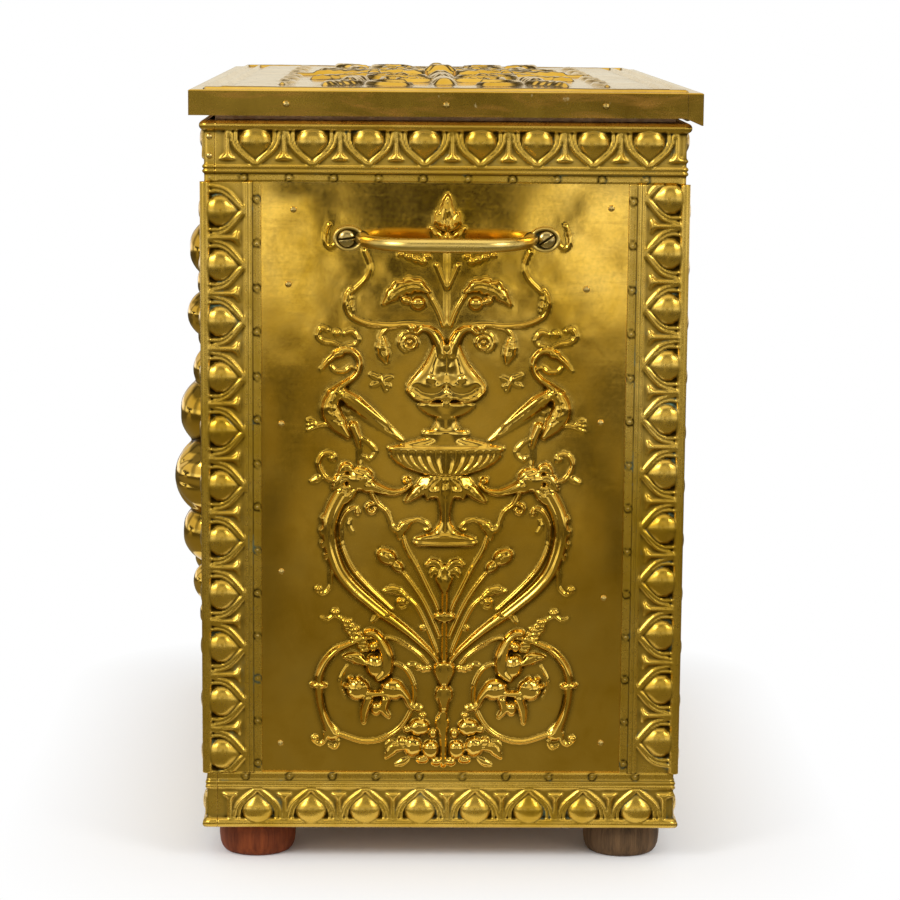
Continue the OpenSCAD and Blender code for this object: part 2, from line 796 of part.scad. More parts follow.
// A column of nails down each strip
module nail_columns(half_w) {
    count = floor((strip_l - nail_pitch / 2) / nail_pitch) + 1;
    x = half_w - moulding_w + flange_w / 2;
    for (s = [-1, 1]) for (i = [0 : count - 1])
        translate([s * x, strip_top - 10 - i * nail_pitch, sheet_t]) nail();
}

module face_nails(half_w) {
    row_l = 2 * half_w - 50;
    nail_row(row_l, strip_top + flange_w / 2);
    nail_row(row_l, strip_bottom - flange_w / 2);
    nail_columns(half_w);
}

module nails_front() {
    on_body() color(bright_brass) on_front() face_nails(body_length / 2);
}

module nails_back() {
    on_body() color(bright_brass) on_back() face_nails(body_length / 2);
}

module nails_end(side) {
    on_body() color(bright_brass) on_end(side) face_nails(body_depth / 2);
}

// Small pins that hold the end panels down
pin_places = [[-89.4, 396.8], [-92.4, 352.6], [-96.6, 269], [-96.7, 179.3], [-97.4, 73.2],
    [98.1, 398.7], [84.2, 350.7], [93.8, 270.7], [97.4, 163.6], [97.1, 73.8]];

module panel_pins(side) {
    on_body() color(bright_brass) on_end(side)
        for (p = pin_places) translate(concat(in_opening(p, end_fit), 0)) nail();
}

// Handles

module handle_screw_places(side) {
    on_end(side) for (s = [-1, 1]) translate([handle_mid + s * handle_span / 2, handle_z, 0]) children();
}

module handle_screw_holes(side) {
    handle_screw_places(side) translate([0, 0, plate_t - handle_screw_l])
        cylinder(r = handle_screw_r + screw_clearance, h = handle_screw_l + cut);
}

module handle_side() {
    translate([-handle_span / 2, 0, 0]) {
        cylinder(r = plate_r, h = plate_t);
        translate([2, 0, 0]) cylinder(r = plate_r, h = plate_t);
        translate([0, -plate_r + 1.5, 0]) cube([handle_span / 2 - grip_root + 2, 2 * plate_r - 3, plate_t]);
    }
    rotate([grip_droop, 0, 0]) translate([-grip_root + bend_r, 0, plate_t]) {
        rotate([90, 0, 0]) rotate([0, 0, 90]) rotate_extrude(angle = 90)
            translate([bend_r, 0]) circle(r = grip_end_r);
        translate([0, 0, bend_r]) rotate([0, 90, 0])
            cylinder(r1 = grip_end_r, r2 = grip_mid_r, h = grip_root - bend_r);
    }
}

module handle(side) {
    on_body() color(bright_brass) difference() {
        on_end(side) translate([handle_mid, handle_z, 0]) pair() handle_side();
        handle_screw_holes(side);
    }
}

module round_head_screw(r, l, head_r, head_h) {
    ball = (head_r * head_r + head_h * head_h) / (2 * head_h);
    difference() {
        union() {
            translate([0, 0, -l]) cylinder(r = r, h = l + head_h / 2);
            difference() {
                translate([0, 0, head_h - ball]) sphere(r = ball);
                translate([-ball, -ball, -2 * ball]) cube([2 * ball, 2 * ball, 2 * ball]);
            }
        }
        translate([-head_r, -head_r * 0.12, head_h * 0.5]) cube([2 * head_r, head_r * 0.24, head_h]);
    }
}

module handle_screws(side) {
    on_body() color(bright_brass) handle_screw_places(side) translate([0, 0, plate_t])
        round_head_screw(handle_screw_r, handle_screw_l, handle_head_r, handle_head_h);
}

// Feet

module foot_places() {
    for (sx = [-1, 1]) for (sy = [-1, 1]) translate([sx * foot_x, sy * foot_y, 0]) children();
}

module foot_screw_holes() {
    foot_places() translate([0, 0, foot_screw_recess])
        cylinder(r = foot_screw_r + screw_clearance, h = foot_screw_l);
}

module bun() {
    rotate_extrude() polygon([[0, 0], [foot_top_r - 1, 0], [foot_top_r + 0.4, 1.2],
        [foot_d / 2 - 0.5, foot_h * 0.24], [foot_d / 2, foot_h * 0.5], [foot_d / 2 - 0.4, foot_h * 0.76],
        [foot_top_r, foot_h], [0, foot_h]]);
}

module foot(side_x, side_y, finish) {
    on_body() color(finish) translate([side_x * foot_x, side_y * foot_y, 0]) difference() {
        bun();
        translate([0, 0, -cut]) cylinder(r = foot_screw_r + screw_clearance, h = foot_h + 2 * cut);
        translate([0, 0, -cut])
            cylinder(r = foot_screw_head_r + screw_clearance, h = foot_screw_recess + cut);
    }
}

module foot_screws() {
    on_body() color(dark_brass) foot_places() translate([0, 0, foot_screw_recess]) {
        cylinder(r = foot_screw_r, h = foot_screw_l);
        translate([0, 0, -2]) cylinder(r = foot_screw_head_r, h = 2);
    }
}

// Hinges

module hinge_places() {
    for (side = [-1, 1]) translate([side * hinge_offset, 0, 0]) children();
}

module hinge_screw_places() {
    hinge_places() for (i = [-1, 0, 1]) translate([i * hinge_screw_step, hinge_screw_y, 0]) children();
}

// Knuckles number 0, 2 and 4 belong to the body's leaf, and 1 and 3 to the lid's
module knuckles(first) {
    for (i = [first : 2 : knuckle_count - 1])
        translate([-hinge_length / 2 + i * (knuckle_l + knuckle_gap), pin_y, pin_z]) children();
}

module countersunk_hole(z, up) {
    translate([0, 0, z]) mirror([0, 0, up ? 0 : 1]) {
        translate([0, 0, -leaf_t - cut])
            cylinder(r = hinge_screw_r + screw_clearance, h = leaf_t + 2 * cut);
        translate([0, 0, -leaf_t]) cylinder(r1 = hinge_screw_r + screw_clearance,
            r2 = hinge_screw_head_r + screw_clearance, h = leaf_t + 0.001);
    }
}

module hinge_leaf(side, first, z, up) {
    on_body() color(dark_brass) difference() {
        translate([side * hinge_offset, 0, 0]) {
            translate([-hinge_length / 2, leaf_edge_y, z])
                cube([hinge_length, leaf_w - knuckle_clear_r, leaf_t]);
            knuckles(first) {
                translate([0, -knuckle_clear_r - cut, z - pin_z])
                    cube([knuckle_l, knuckle_clear_r + cut, leaf_t]);
                rotate([0, 90, 0]) cylinder(r = knuckle_r, h = knuckle_l);
            }
        }
        translate([side * hinge_offset - hinge_length, pin_y, pin_z]) rotate([0, 90, 0])
            cylinder(r = pin_r + pin_clearance, h = 2 * hinge_length);
        hinge_screw_places() countersunk_hole(up ? z + leaf_t : z, up);
    }
}

module hinge_body_leaf(side) {
    hinge_leaf(side, 0, body_top, true);
}

module hinge_lid_leaf(side) {
    hinge_leaf(side, 1, lid_bottom - leaf_t, false);
}

module hinge_pin(side) {
    on_body() color(dark_brass) translate([side * hinge_offset - hinge_length / 2, pin_y, pin_z])
        rotate([0, 90, 0]) cylinder(r = pin_r, h = hinge_length);
}

module countersunk_screw() {
    translate([0, 0, -leaf_t]) cylinder(r1 = hinge_screw_r, r2 = hinge_screw_head_r, h = leaf_t);
    translate([0, 0, -leaf_t - hinge_screw_l + 1]) cylinder(r = hinge_screw_r, h = hinge_screw_l - 1);
}

module hinge_body_screws() {
    on_body() color(bright_brass)
        hinge_screw_places() translate([0, 0, body_top + leaf_t]) countersunk_screw();
}

module hinge_lid_screws() {
    on_body() color(bright_brass) hinge_screw_places() translate([0, 0, lid_bottom - leaf_t])
        mirror([0, 0, 1]) countersunk_screw();
}

// Lid

// The lid's back edge is notched round each hinge's knuckles
module hinge_notches() {
    hinge_places()
        translate([-hinge_length / 2 - cut, pin_y - knuckle_clear_r, body_top - 2 * back_rim_drop])
        cube([hinge_length + 2 * cut, lid_d, pin_z + knuckle_clear_r - body_top + 2 * back_rim_drop]);
}

// The step under the lid is let out where the leaves lie
module leaf_mortises() {
    hinge_places() translate([-hinge_length / 2 - cut, leaf_edge_y - cut, body_top])
        cube([hinge_length + 2 * cut, lid_d, lid_gap]);
}

module lid_board() {
    step_l = body_length - 2 * lid_step_inset;
    step_d = body_depth - 2 * lid_step_inset;
    on_body() color(pine) difference() {
        union() {
            translate([0, 0, lid_bottom]) board(lid_l - 2 * sheet_t, lid_d - 2 * sheet_t, lid_board_t);
            translate([0, 0, body_top + lid_rest_clearance])
                board(step_l, step_d, lid_gap - lid_rest_clearance);
        }
        hinge_notches();
        leaf_mortises();
        hinge_screw_places() translate([0, 0, lid_bottom - cut])
            cylinder(r = hinge_screw_r + screw_clearance, h = hinge_screw_l + cut);
    }
}

// Ridges of the lid run round it as rods with a ball at each corner
module lid_ridge(inset) {
    l = lid_l - 2 * inset;
    d = lid_d - 2 * inset;
    for (s = [-1, 1]) {
        translate([-l / 2, s * d / 2, 0]) rotate([0, 90, 0]) cylinder(r = lid_ridge_r, h = l);
        translate([s * l / 2, -d / 2, 0]) rotate([-90, 0, 0]) cylinder(r = lid_ridge_r, h = d);
        for (t = [-1, 1]) translate([s * l / 2, t * d / 2, 0]) sphere(r = lid_ridge_r * 1.1);
    }
}

// One quarter of the lid's ornament: scrolls with a berry in the middle, and their leaves
module lid_quarter(h) {
    ring([74, 26], 22, 2.6);
    boss(74, 26, 6.5, h * 0.5);
    ring([122, 20], 13, 2.2);
    boss(122, 20, 5, h * 0.4);
    curl([176, 26], 20, 0, 180, 2.2);
    leaf([38, 26], [58, 64], 7.5, h * 0.44);
    leaf([92, 48], [132, 59], 7, h * 0.42);
    leaf([70, 54], [92, 82], 6.5, h * 0.38);
    leaf([168, 50], [202, 73], 7, h * 0.4);
    boss(16, 44, 6.5, h * 0.52);
}

module lid_ornament(h) {
    boss(0, 0, 14, h);
    for (a = [0 : 45 : 315]) leaf([12 * cos(a), 12 * sin(a)], [36 * cos(a), 36 * sin(a)], 8, h * 0.6);
    pair() {
        leaf([36, 0], [100, 0], 9, h * 0.55);
        leaf([104, 0], [162, 0], 8, h * 0.5);
        boss(172, 0, 7, h * 0.5);
        lid_quarter(h);
        mirror([0, 1, 0]) lid_quarter(h);
    }
    for (t = [-1, 1]) leaf([0, t * 36], [0, t * 82], 10, h * 0.55);
}

module lid_top_sheet() {
    on_body() color(brass) translate([0, 0, lid_top]) difference() {
        union() {
            translate([0, 0, -sheet_t]) board(lid_l, lid_d, sheet_t);
            translate([0, 0, -sheet_t]) board(lid_l - 2 * lid_field_inset, lid_d - 2 * lid_field_inset,
                sheet_t + lid_field_h);
            for (i = [0, 1]) lid_ridge(lid_margin + i * lid_ridge_step);
            translate([0, 0, lid_field_h]) scale(lid_fit)
                lid_ornament((lid_relief_h - lid_field_h) / lid_fit);
        }
        translate([0, 0, -sheet_t - lid_d]) board(lid_l, lid_d, lid_d);
    }
}

module lid_rim_front() {
    on_body() color(dark_brass) translate([0, -(lid_d - sheet_t) / 2, lid_bottom])
        board(lid_l - 2 * sheet_t, sheet_t, lid_board_t);
}

// The back rim hangs lower, so that it meets the body's back when the lid is thrown open
module lid_rim_back() {
    on_body() color(dark_brass) difference() {
        union() {
            translate([0, (lid_d - sheet_t) / 2, lid_bottom - back_rim_drop])
                board(lid_l, sheet_t, lid_board_t + back_rim_drop);
            for (side = [-1, 1]) translate([side * (lid_l - sheet_t) / 2 - sheet_t / 2, 0, 0])
                rotate([90, 0, 90]) linear_extrude(height = sheet_t) polygon([
                    [lid_d / 2 - lid_tab_w, lid_board_top], [lid_d / 2, lid_board_top],
                    [lid_d / 2, lid_bottom - back_rim_drop], [lid_d / 2 - lid_tab_w, lid_bottom - 0.5]
                ]);
        }
        hinge_notches();
    }
}

module lid_rim_end(side) {
    rim_l = lid_d - lid_tab_w - lap_clearance;
    on_body() color(dark_brass)
        translate([side * (lid_l - sheet_t) / 2, -lid_d / 2 + rim_l / 2, lid_bottom])
            board(sheet_t, rim_l, lid_board_t);
}

// Nails of the rims: a few along each side, at half the rim's height
module lid_nails() {
    nail_z = lid_bottom + lid_board_t / 2;
    side_step = lid_d * 0.31;
    front_step = lid_l * 0.19;
    on_body() color(bright_brass) {
        for (side = [-1, 1]) for (i = [-1 : 1])
            translate([side * lid_l / 2, i * side_step, nail_z]) rotate([0, side * 90, 0]) nail();
        for (t = [-1, 1]) for (i = [-2 : 2])
            translate([i * front_step, t * lid_d / 2, nail_z]) rotate([-t * 90, 0, 0]) nail();
    }
}

bottom_board();
front_board();
back_board();
end_board(-1);  // end_board_left
end_board(1);  // end_board_right
front_panel();
back_panel();
end_panel(-1);  // end_panel_left
end_panel(1);  // end_panel_right
corner_strip(-1, -1);  // corner_strip_front_left
corner_strip(1, -1);  // corner_strip_front_right
corner_strip(-1, 1);  // corner_strip_back_left
corner_strip(1, 1);  // corner_strip_back_right
front_band(true);  // top_band_front
back_band(true);  // top_band_back
side_band(-1, true);  // top_band_left
side_band(1, true);  // top_band_right
front_band(false);  // base_band_front
back_band(false);  // base_band_back
side_band(-1, false);  // base_band_left
side_band(1, false);  // base_band_right
nails_front();
nails_back();
nails_end(-1);  // nails_left
nails_end(1);  // nails_right
panel_pins(-1);  // panel_pins_left
panel_pins(1);  // panel_pins_right
handle(-1);  // handle_left
handle(1);  // handle_right
handle_screws(-1);  // handle_screws_left
handle_screws(1);  // handle_screws_right
foot(-1, -1, mahogany);  // foot_front_left
foot(1, -1, mahogany);  // foot_front_right
foot(-1, 1, old_oak);  // foot_back_left
foot(1, 1, old_oak);  // foot_back_right
foot_screws();
hinge_body_leaf(-1);  // hinge_body_leaf_left
hinge_body_leaf(1);  // hinge_body_leaf_right
hinge_lid_leaf(-1);  // hinge_lid_leaf_left
hinge_lid_leaf(1);  // hinge_lid_leaf_right
hinge_pin(-1);  // hinge_pin_left
hinge_pin(1);  // hinge_pin_right
hinge_body_screws();
hinge_lid_screws();
lid_board();
lid_top_sheet();
lid_rim_front();
lid_rim_back();
lid_rim_end(-1);  // lid_rim_left
lid_rim_end(1);  // lid_rim_right
lid_nails();
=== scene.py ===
import math
import bpy
import numpy as np
from mathutils import Matrix, Vector


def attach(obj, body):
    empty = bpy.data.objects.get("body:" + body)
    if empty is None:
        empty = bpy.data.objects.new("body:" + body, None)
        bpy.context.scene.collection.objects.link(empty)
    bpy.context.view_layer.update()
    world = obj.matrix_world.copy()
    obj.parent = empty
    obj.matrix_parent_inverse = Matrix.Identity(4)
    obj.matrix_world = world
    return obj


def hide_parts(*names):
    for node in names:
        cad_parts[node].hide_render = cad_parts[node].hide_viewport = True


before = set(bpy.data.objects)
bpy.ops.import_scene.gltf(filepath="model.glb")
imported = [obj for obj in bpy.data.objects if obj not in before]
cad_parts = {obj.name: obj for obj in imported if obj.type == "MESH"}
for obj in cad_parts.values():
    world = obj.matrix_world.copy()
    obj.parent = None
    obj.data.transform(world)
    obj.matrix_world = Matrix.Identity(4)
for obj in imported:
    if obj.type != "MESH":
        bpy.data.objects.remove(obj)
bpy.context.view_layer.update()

# Sizes in millimetres, as in the box's CAD source
BODY_L, BODY_D = 483.0, 289.0
BODY_BOTTOM, BODY_TOP = 21.0, 449.0
BODY_MID_Y = 7.4
PANEL_X, PANEL_Y = 236.5, 139.5
CASE_L = 471.0
SHEET_T = 1.0
MOULDING_W, BASE_MOULDING_W, MOULDING_H = 36.0, 34.5, 5.0
GROUND_H, FLANGE_W, BEAD_R, RIDGE_R = 2.2, 5.0, 3.0, 1.2
NAIL_PITCH, NAIL_INSET = 26.3, 25.0
EGG_PITCH, EGG_SEAT = 33.0, 12.6
CORNER_LAP, LAP_GAP = 9.0, 0.2
STRIP_BOTTOM, STRIP_TOP = BODY_BOTTOM + BASE_MOULDING_W, BODY_TOP - MOULDING_W
LID_TOP, LID_L, LID_D = 467.0, 494.6, 300.6
FOOT_X, FOOT_Y, FOOT_H, FOOT_SCREW_R = 209.5, 112.5, 21.0, 2.3
HANDLE_X, HANDLE_Z, HANDLE_SPAN, HANDLE_REACH = 1.0, 380.0, 118.0, 36.0
PLATE_T, PLATE_RX, PLATE_RY, GRIP_ROOT, GRIP_DROOP = 3.0, 9.3, 7.5, 50.0, math.radians(1.5)
SCREW_HEAD_R, SCREW_HEAD_H, NAIL_R = 5.0, 2.6, 2.0
MM = 0.001

# The end ornament's middle line and how far its ground stays from the panel's edges, and how far the front's and
# the lid's relief may stand out to stay inside the CAD box
RELIEF_MID, END_MARGIN = 1.5, 31.5
FRONT_REACH, LID_REACH = 25.9, 8.9
# Half the room that an egg with its rims takes along a moulding, and a place along it that has no eggs
EGG_ROOM, NO_EGGS = 9.8, -999.0
# Steps of the grids: of each panel's and the lid's relief, along the mouldings and across them
END_STEP, FRONT_STEP, BACK_STEP, LID_STEP = 0.62, 1.05, 4.0, 1.0
ALONG_STEP, ACROSS_STEP = 0.8, 0.75
# Segments of a curve that are compared with the grid at once, and the largest cell of a mesh as a power of two
CHUNK, TOP_LEVEL = 24, 3


# Surfaces

def smoothstep(t):
    """3t^2 - 2t^3 between 0 and 1."""
    t = np.clip(t, 0.0, 1.0)
    return t * t * (3.0 - 2.0 * t)


def waves(x, y, cell, seed):
    """Smooth bumps between -1 and 1: random values on a square lattice of that cell, joined by smoothstep."""
    table = np.random.default_rng(seed).uniform(-1.0, 1.0, (64, 64))
    u, v = np.asarray(x) / cell, np.asarray(y) / cell
    i, j = np.floor(u).astype(int), np.floor(v).astype(int)
    a, b = smoothstep(u - i), smoothstep(v - j)
    i0, i1, j0, j1 = i % 64, (i + 1) % 64, j % 64, (j + 1) % 64
    low = table[i0, j0] * (1 - a) + table[i1, j0] * a
    high = table[i0, j1] * (1 - a) + table[i1, j1] * a
    return low * (1 - b) + high * b


def blur(h, sigma):
    """Gaussian blur along both directions of a grid, with its edge values carried on."""
    n = max(1, int(3 * sigma))
    k = np.exp(-0.5 * (np.arange(-n, n + 1) / sigma) ** 2)
    k /= k.sum()
    for axis in (0, 1):
        pad = [(n, n) if a == axis else (0, 0) for a in (0, 1)]
        p = np.pad(h, pad, mode="edge")
        h = sum(w * np.take(p, range(i, i + h.shape[axis]), axis=axis) for i, w in enumerate(k))
    return h


def curve(points, step=0.8):
    """Catmull-Rom curve through the points, sampled about every step millimetres."""
    p = np.asarray(points, float)
    if len(p) == 2:
        n = max(2, int(np.hypot(*(p[1] - p[0])) / step) + 1)
        t = np.linspace(0, 1, n)[:, None]
        return p[0] * (1 - t) + p[1] * t
    q = np.vstack([2 * p[0] - p[1], p, 2 * p[-1] - p[-2]])
    parts = []
    for a, b, c, d in zip(q[:-3], q[1:-2], q[2:-1], q[3:]):
        n = max(2, int(np.hypot(*(c - b)) / step) + 1)
        t = np.linspace(0, 1, n, endpoint=False)[:, None]
        parts.append(0.5 * (2 * b + (c - a) * t + (2 * a - 5 * b + 4 * c - d) * t ** 2
                            + (3 * b - a - 3 * c + d) * t ** 3))
    return np.vstack(parts + [p[-1:]])


def arc(cx, cy, r, a0, a1, r_end=None, n=None):
    """Points on an arc, or on a spiral where the radius ends at r_end; angles in degrees."""
    n = n or max(4, int(abs(a1 - a0) / 24) + 2)
    a = np.radians(np.linspace(a0, a1, n))
    rr = np.linspace(r, r if r_end is None else r_end, n)
    return np.stack([cx + rr * np.cos(a), cy + rr * np.sin(a)], axis=1)


def grid_cells(length, step):
    """How many cells of about that step: a multiple of 8, so that they can join by twos, fours and eights."""
    return 8 * math.ceil(length / step / 8)


class Relief:
    """A sheet worked up from behind: height h in millimetres over a grid of points x, y of its face. middle is the
    x that its halves are mirrored about, and slim the share of their drawn width that its bands get."""

    def __init__(self, x0, x1, y0, y1, step, middle=0.0):
        self.x = np.linspace(x0, x1, grid_cells(x1 - x0, step) + 1)
        self.y = np.linspace(y0, y1, grid_cells(y1 - y0, step) + 1)
        self.h = np.zeros((len(self.x), len(self.y)))
        self.middle = middle
        self.turned_over = False
        self.slim = 1.0

    def place(self, points):
        """Points as drawn, or mirrored about the middle line for the other half."""
        p = np.array(points, float)
        if self.turned_over:
            p[..., 0] = 2 * self.middle - p[..., 0]
        return p

    def grid(self):
        """The x and the y of every point."""
        return self.x[:, None] + 0 * self.y, self.y[None, :] + 0 * self.x[:, None]

    def halves(self):
        """For a loop: what it draws is mirrored in its first turn and as drawn in its second."""
        for self.turned_over in (True, False):
            yield

    def window(self, lo, hi):
        """The part of the grid between two corners, with its x and y."""
        i = slice(*np.searchsorted(self.x, (lo[0], hi[0])))
        j = slice(*np.searchsorted(self.y, (lo[1], hi[1])))
        return (i, j), self.x[i][:, None], self.y[j][None, :]

    def near(self, points, reach):
        """The part of the grid within reach of a curve, with each point's place s along it, from 0 to 1, and its
        signed distance d."""
        c = curve(self.place(points))
        win, x, y = self.window(c.min(0) - reach, c.max(0) + reach)
        a, b = c[:-1], c[1:]
        length = np.hypot(*(b - a).T)
        keep = length > 1e-6
        a, b, length = a[keep], b[keep], length[keep]
        start = np.concatenate([[0], np.cumsum(length)])
        total = start[-1]
        best = np.full((x.shape[0], y.shape[1]), 1e9)
        s, side = np.zeros_like(best), np.ones_like(best)
        for k in range(0, len(a), CHUNK):
            part = slice(k, k + CHUNK)
            d = (b - a)[part] / length[part, None]
            px = x[..., None] - a[part, 0]
            py = y[..., None] - a[part, 1]
            t = np.clip(px * d[:, 0] + py * d[:, 1], 0, length[part])
            qx, qy = px - t * d[:, 0], py - t * d[:, 1]
            dist = np.sqrt(qx * qx + qy * qy)
            m = dist.argmin(-1)[..., None]
            near = np.take_along_axis(dist, m, -1)[..., 0]
            along = np.take_along_axis(t + start[:-1][part], m, -1)[..., 0]
            turn = np.take_along_axis(px * d[:, 1] - py * d[:, 0], m, -1)[..., 0]
            better = near < best
            best, s = np.where(better, near, best), np.where(better, along, s)
            side = np.where(better, np.sign(turn), side)
        return win, s / total, best * side * (-1 if self.turned_over else 1)

    def lift(self, win, h):
        """Raises what is lower than h in that part of the grid."""
        self.h[win] = np.maximum(self.h[win], h)

    def band(self, points, w, h, power=0.7):
        """A rounded band along a curve: h * (1 - (d / w)^2)^power, with w and h given at even steps along it."""
        w, h = self.slim * np.atleast_1d(w).astype(float), np.atleast_1d(h).astype(float)
        win, s, d = self.near(points, w.max() + 1)
        ww = np.interp(s, np.linspace(0, 1, len(w)), w)
        hh = np.interp(s, np.linspace(0, 1, len(h)), h)
        self.lift(win, hh * np.clip(1 - (d / ww) ** 2, 0, None) ** power)

    def leaf(self, points, w, h, lobes=4, notch=0.22, vein=0.5):
        """A leaf along a curve: its half width w swells and closes again and is nicked into lobes, its height
        falls from the midrib, which is cut in, and side veins slant from it."""
        win, s, d = self.near(points, w * 1.3 + 1)
        width = w * np.sin(np.pi * np.clip(s, 0.02, 0.98)) ** 0.65
        width = width * (1 - notch + notch * np.abs(np.cos(np.pi * lobes * s)) ** 0.7) + 0.3
        f = np.clip(1 - (d / width) ** 2, 0, None) ** 0.6
        side_vein = 0.05 * np.cos(2 * np.pi * (lobes * s - np.abs(d) / w * 0.8))
        self.lift(win, h * f * (0.85 + side_vein) - vein * np.exp(-(d / 0.55) ** 2) * (f > 0))

    def round_about(self, x, y, r):
        """The part of the grid a little more than r about a point, and where that point lies."""
        cx, cy = self.place([x, y])
        return *self.window((cx - r - 1, cy - r - 1), (cx + r + 1, cy + r + 1)), cx, cy

    def blob(self, x, y, rx, ry, h, angle=0.0, power=0.6, dimple=0.0, seams=0):
        """An oval boss: h * (1 - r^2)^power, with a dimple in its middle or cut by seams."""
        win, gx, gy, cx, cy = self.round_about(x, y, max(rx, ry))
        a = math.radians(-angle if self.turned_over else angle)
        u = (gx - cx) * math.cos(a) + (gy - cy) * math.sin(a)
        v = -(gx - cx) * math.sin(a) + (gy - cy) * math.cos(a)
        r2 = (u / rx) ** 2 + (v / ry) ** 2
        f = np.clip(1 - r2, 0, None) ** power
        cut = dimple * np.exp(-r2 * 30) if dimple else 0.0
        if seams:
            seam = np.abs(np.cos(seams * np.arctan2(v, u + 1e-9) / 2)) ** 8
            cut = cut + 0.09 * h * seam * np.clip(r2 * 3, 0, 1)
        self.lift(win, h * f - cut * (f > 0))

    def cap(self, x, y, r, h, dimple=0.0, seams=0, turn=0.0):
        """A fruit: the part of a ball that stands h high on a round of radius r, dimpled on top or parted by
        seams."""
        win, gx, gy, cx, cy = self.round_about(x, y, r)
        ball = (r * r + h * h) / (2 * h)
        d2 = (gx - cx) ** 2 + (gy - cy) ** 2
        f = np.sqrt(np.clip(ball ** 2 - d2, 0, None)) - (ball - h)
        cut = dimple * np.exp(-d2 / (0.16 * r) ** 2)
        if seams:
            seam = np.abs(np.cos(seams * (np.arctan2(gy - cy, gx - cx) + turn) / 2)) ** 10
            cut = cut + 0.06 * r * seam * np.clip(d2 / r ** 2 * 3, 0, 1)
        self.lift(win, np.where(f > 0, f - cut, 0))

    def ring(self, x, y, r, tube, h, power=0.55):
        """A rounded ring of radius r and half width tube."""
        win, gx, gy, cx, cy = self.round_about(x, y, r + tube)
        d = np.hypot(gx - cx, gy - cy) - r
        self.lift(win, h * np.clip(1 - (d / tube) ** 2, 0, None) ** power)

    def turned(self, rows, h, flutes=0, flute_h=0.0, power=0.5):
        """A turned form on the middle line in low relief: rows of (y, half width), and height
        h * (1 - (x / w)^2)^power, with flutes."""
        rows = np.array(sorted(rows), float)
        reach = rows[:, 1].max() + 1
        win, gx, gy = self.window((self.middle - reach, rows[0, 0]), (self.middle + reach, rows[-1, 0]))
        w = np.interp(gy, rows[:, 0], rows[:, 1])
        u = (gx - self.middle) / w
        f = np.clip(1 - u ** 2, 0, None)
        body = h * f ** power
        if flutes:
            phase = np.arcsin(np.clip(u, -1, 1)) / math.pi * flutes
            body = body + flute_h * (np.abs(np.cos(math.pi * phase)) - 0.6) * (f > 0)
        self.lift(win, body)

    def spiral(self, x, y, r, a0, turns, w, h):
        """A stem that rolls up: its radius falls evenly to a small eye."""
        points = arc(x, y, r, a0, a0 + 360 * turns, max(0.6, r * 0.12), n=max(6, int(abs(turns) * 16)))
        self.band(points, (w, w * 0.8), h)

    def groove(self, points, w, depth):
        """A chased line: depth * exp(-(d / w)^2) is taken away."""
        win, _, d = self.near(points, w * 3)
        self.h[win] -= depth * np.exp(-(d / w) ** 2)


def quad_levels(points, tolerance):
    """Size of the cell that each smallest cell of a grid belongs to, as a power of two: cells join where the
    surface stays within the tolerance of the flat through their corners, and no cell meets one under half its size.
    Both end rows stay smallest, so that the back can be ruled between them."""
    n, m = points.shape[0] - 1, points.shape[1] - 1
    level = np.zeros((n, m), int)
    for k in range(1, TOP_LEVEL + 1):
        size = 2 ** k
        if n % size or m % size:
            break
        c = points[::size, ::size]
        worst = np.zeros((n // size, m // size))
        for i in range(0, size + 1, max(1, size // 4)):
            for j in range(0, size + 1, max(1, size // 4)):
                a, b = i / size, j / size
                flat = (c[:-1, :-1] * (1 - a) * (1 - b) + c[1:, :-1] * a * (1 - b)
                        + c[:-1, 1:] * (1 - a) * b + c[1:, 1:] * a * b)
                real = points[i:i + n - size + 1:size, j:j + m - size + 1:size]
                worst = np.maximum(worst, np.abs(flat - real).max(-1))
        lowest = level.reshape(n // size, size, m // size, size).min(axis=(1, 3))
        pad = np.pad(lowest, 1, mode="edge")
        around = np.minimum.reduce([pad[:-2, 1:-1], pad[2:, 1:-1], pad[1:-1, :-2], pad[1:-1, 2:],
                                    pad[:-2, :-2], pad[2:, 2:], pad[:-2, 2:], pad[2:, :-2]])
        join = (worst < tolerance) & (lowest == k - 1) & (around >= k - 1)
        join[0], join[-1] = False, False
        level[np.kron(join, np.ones((size, size), int)) > 0] = k
    return level


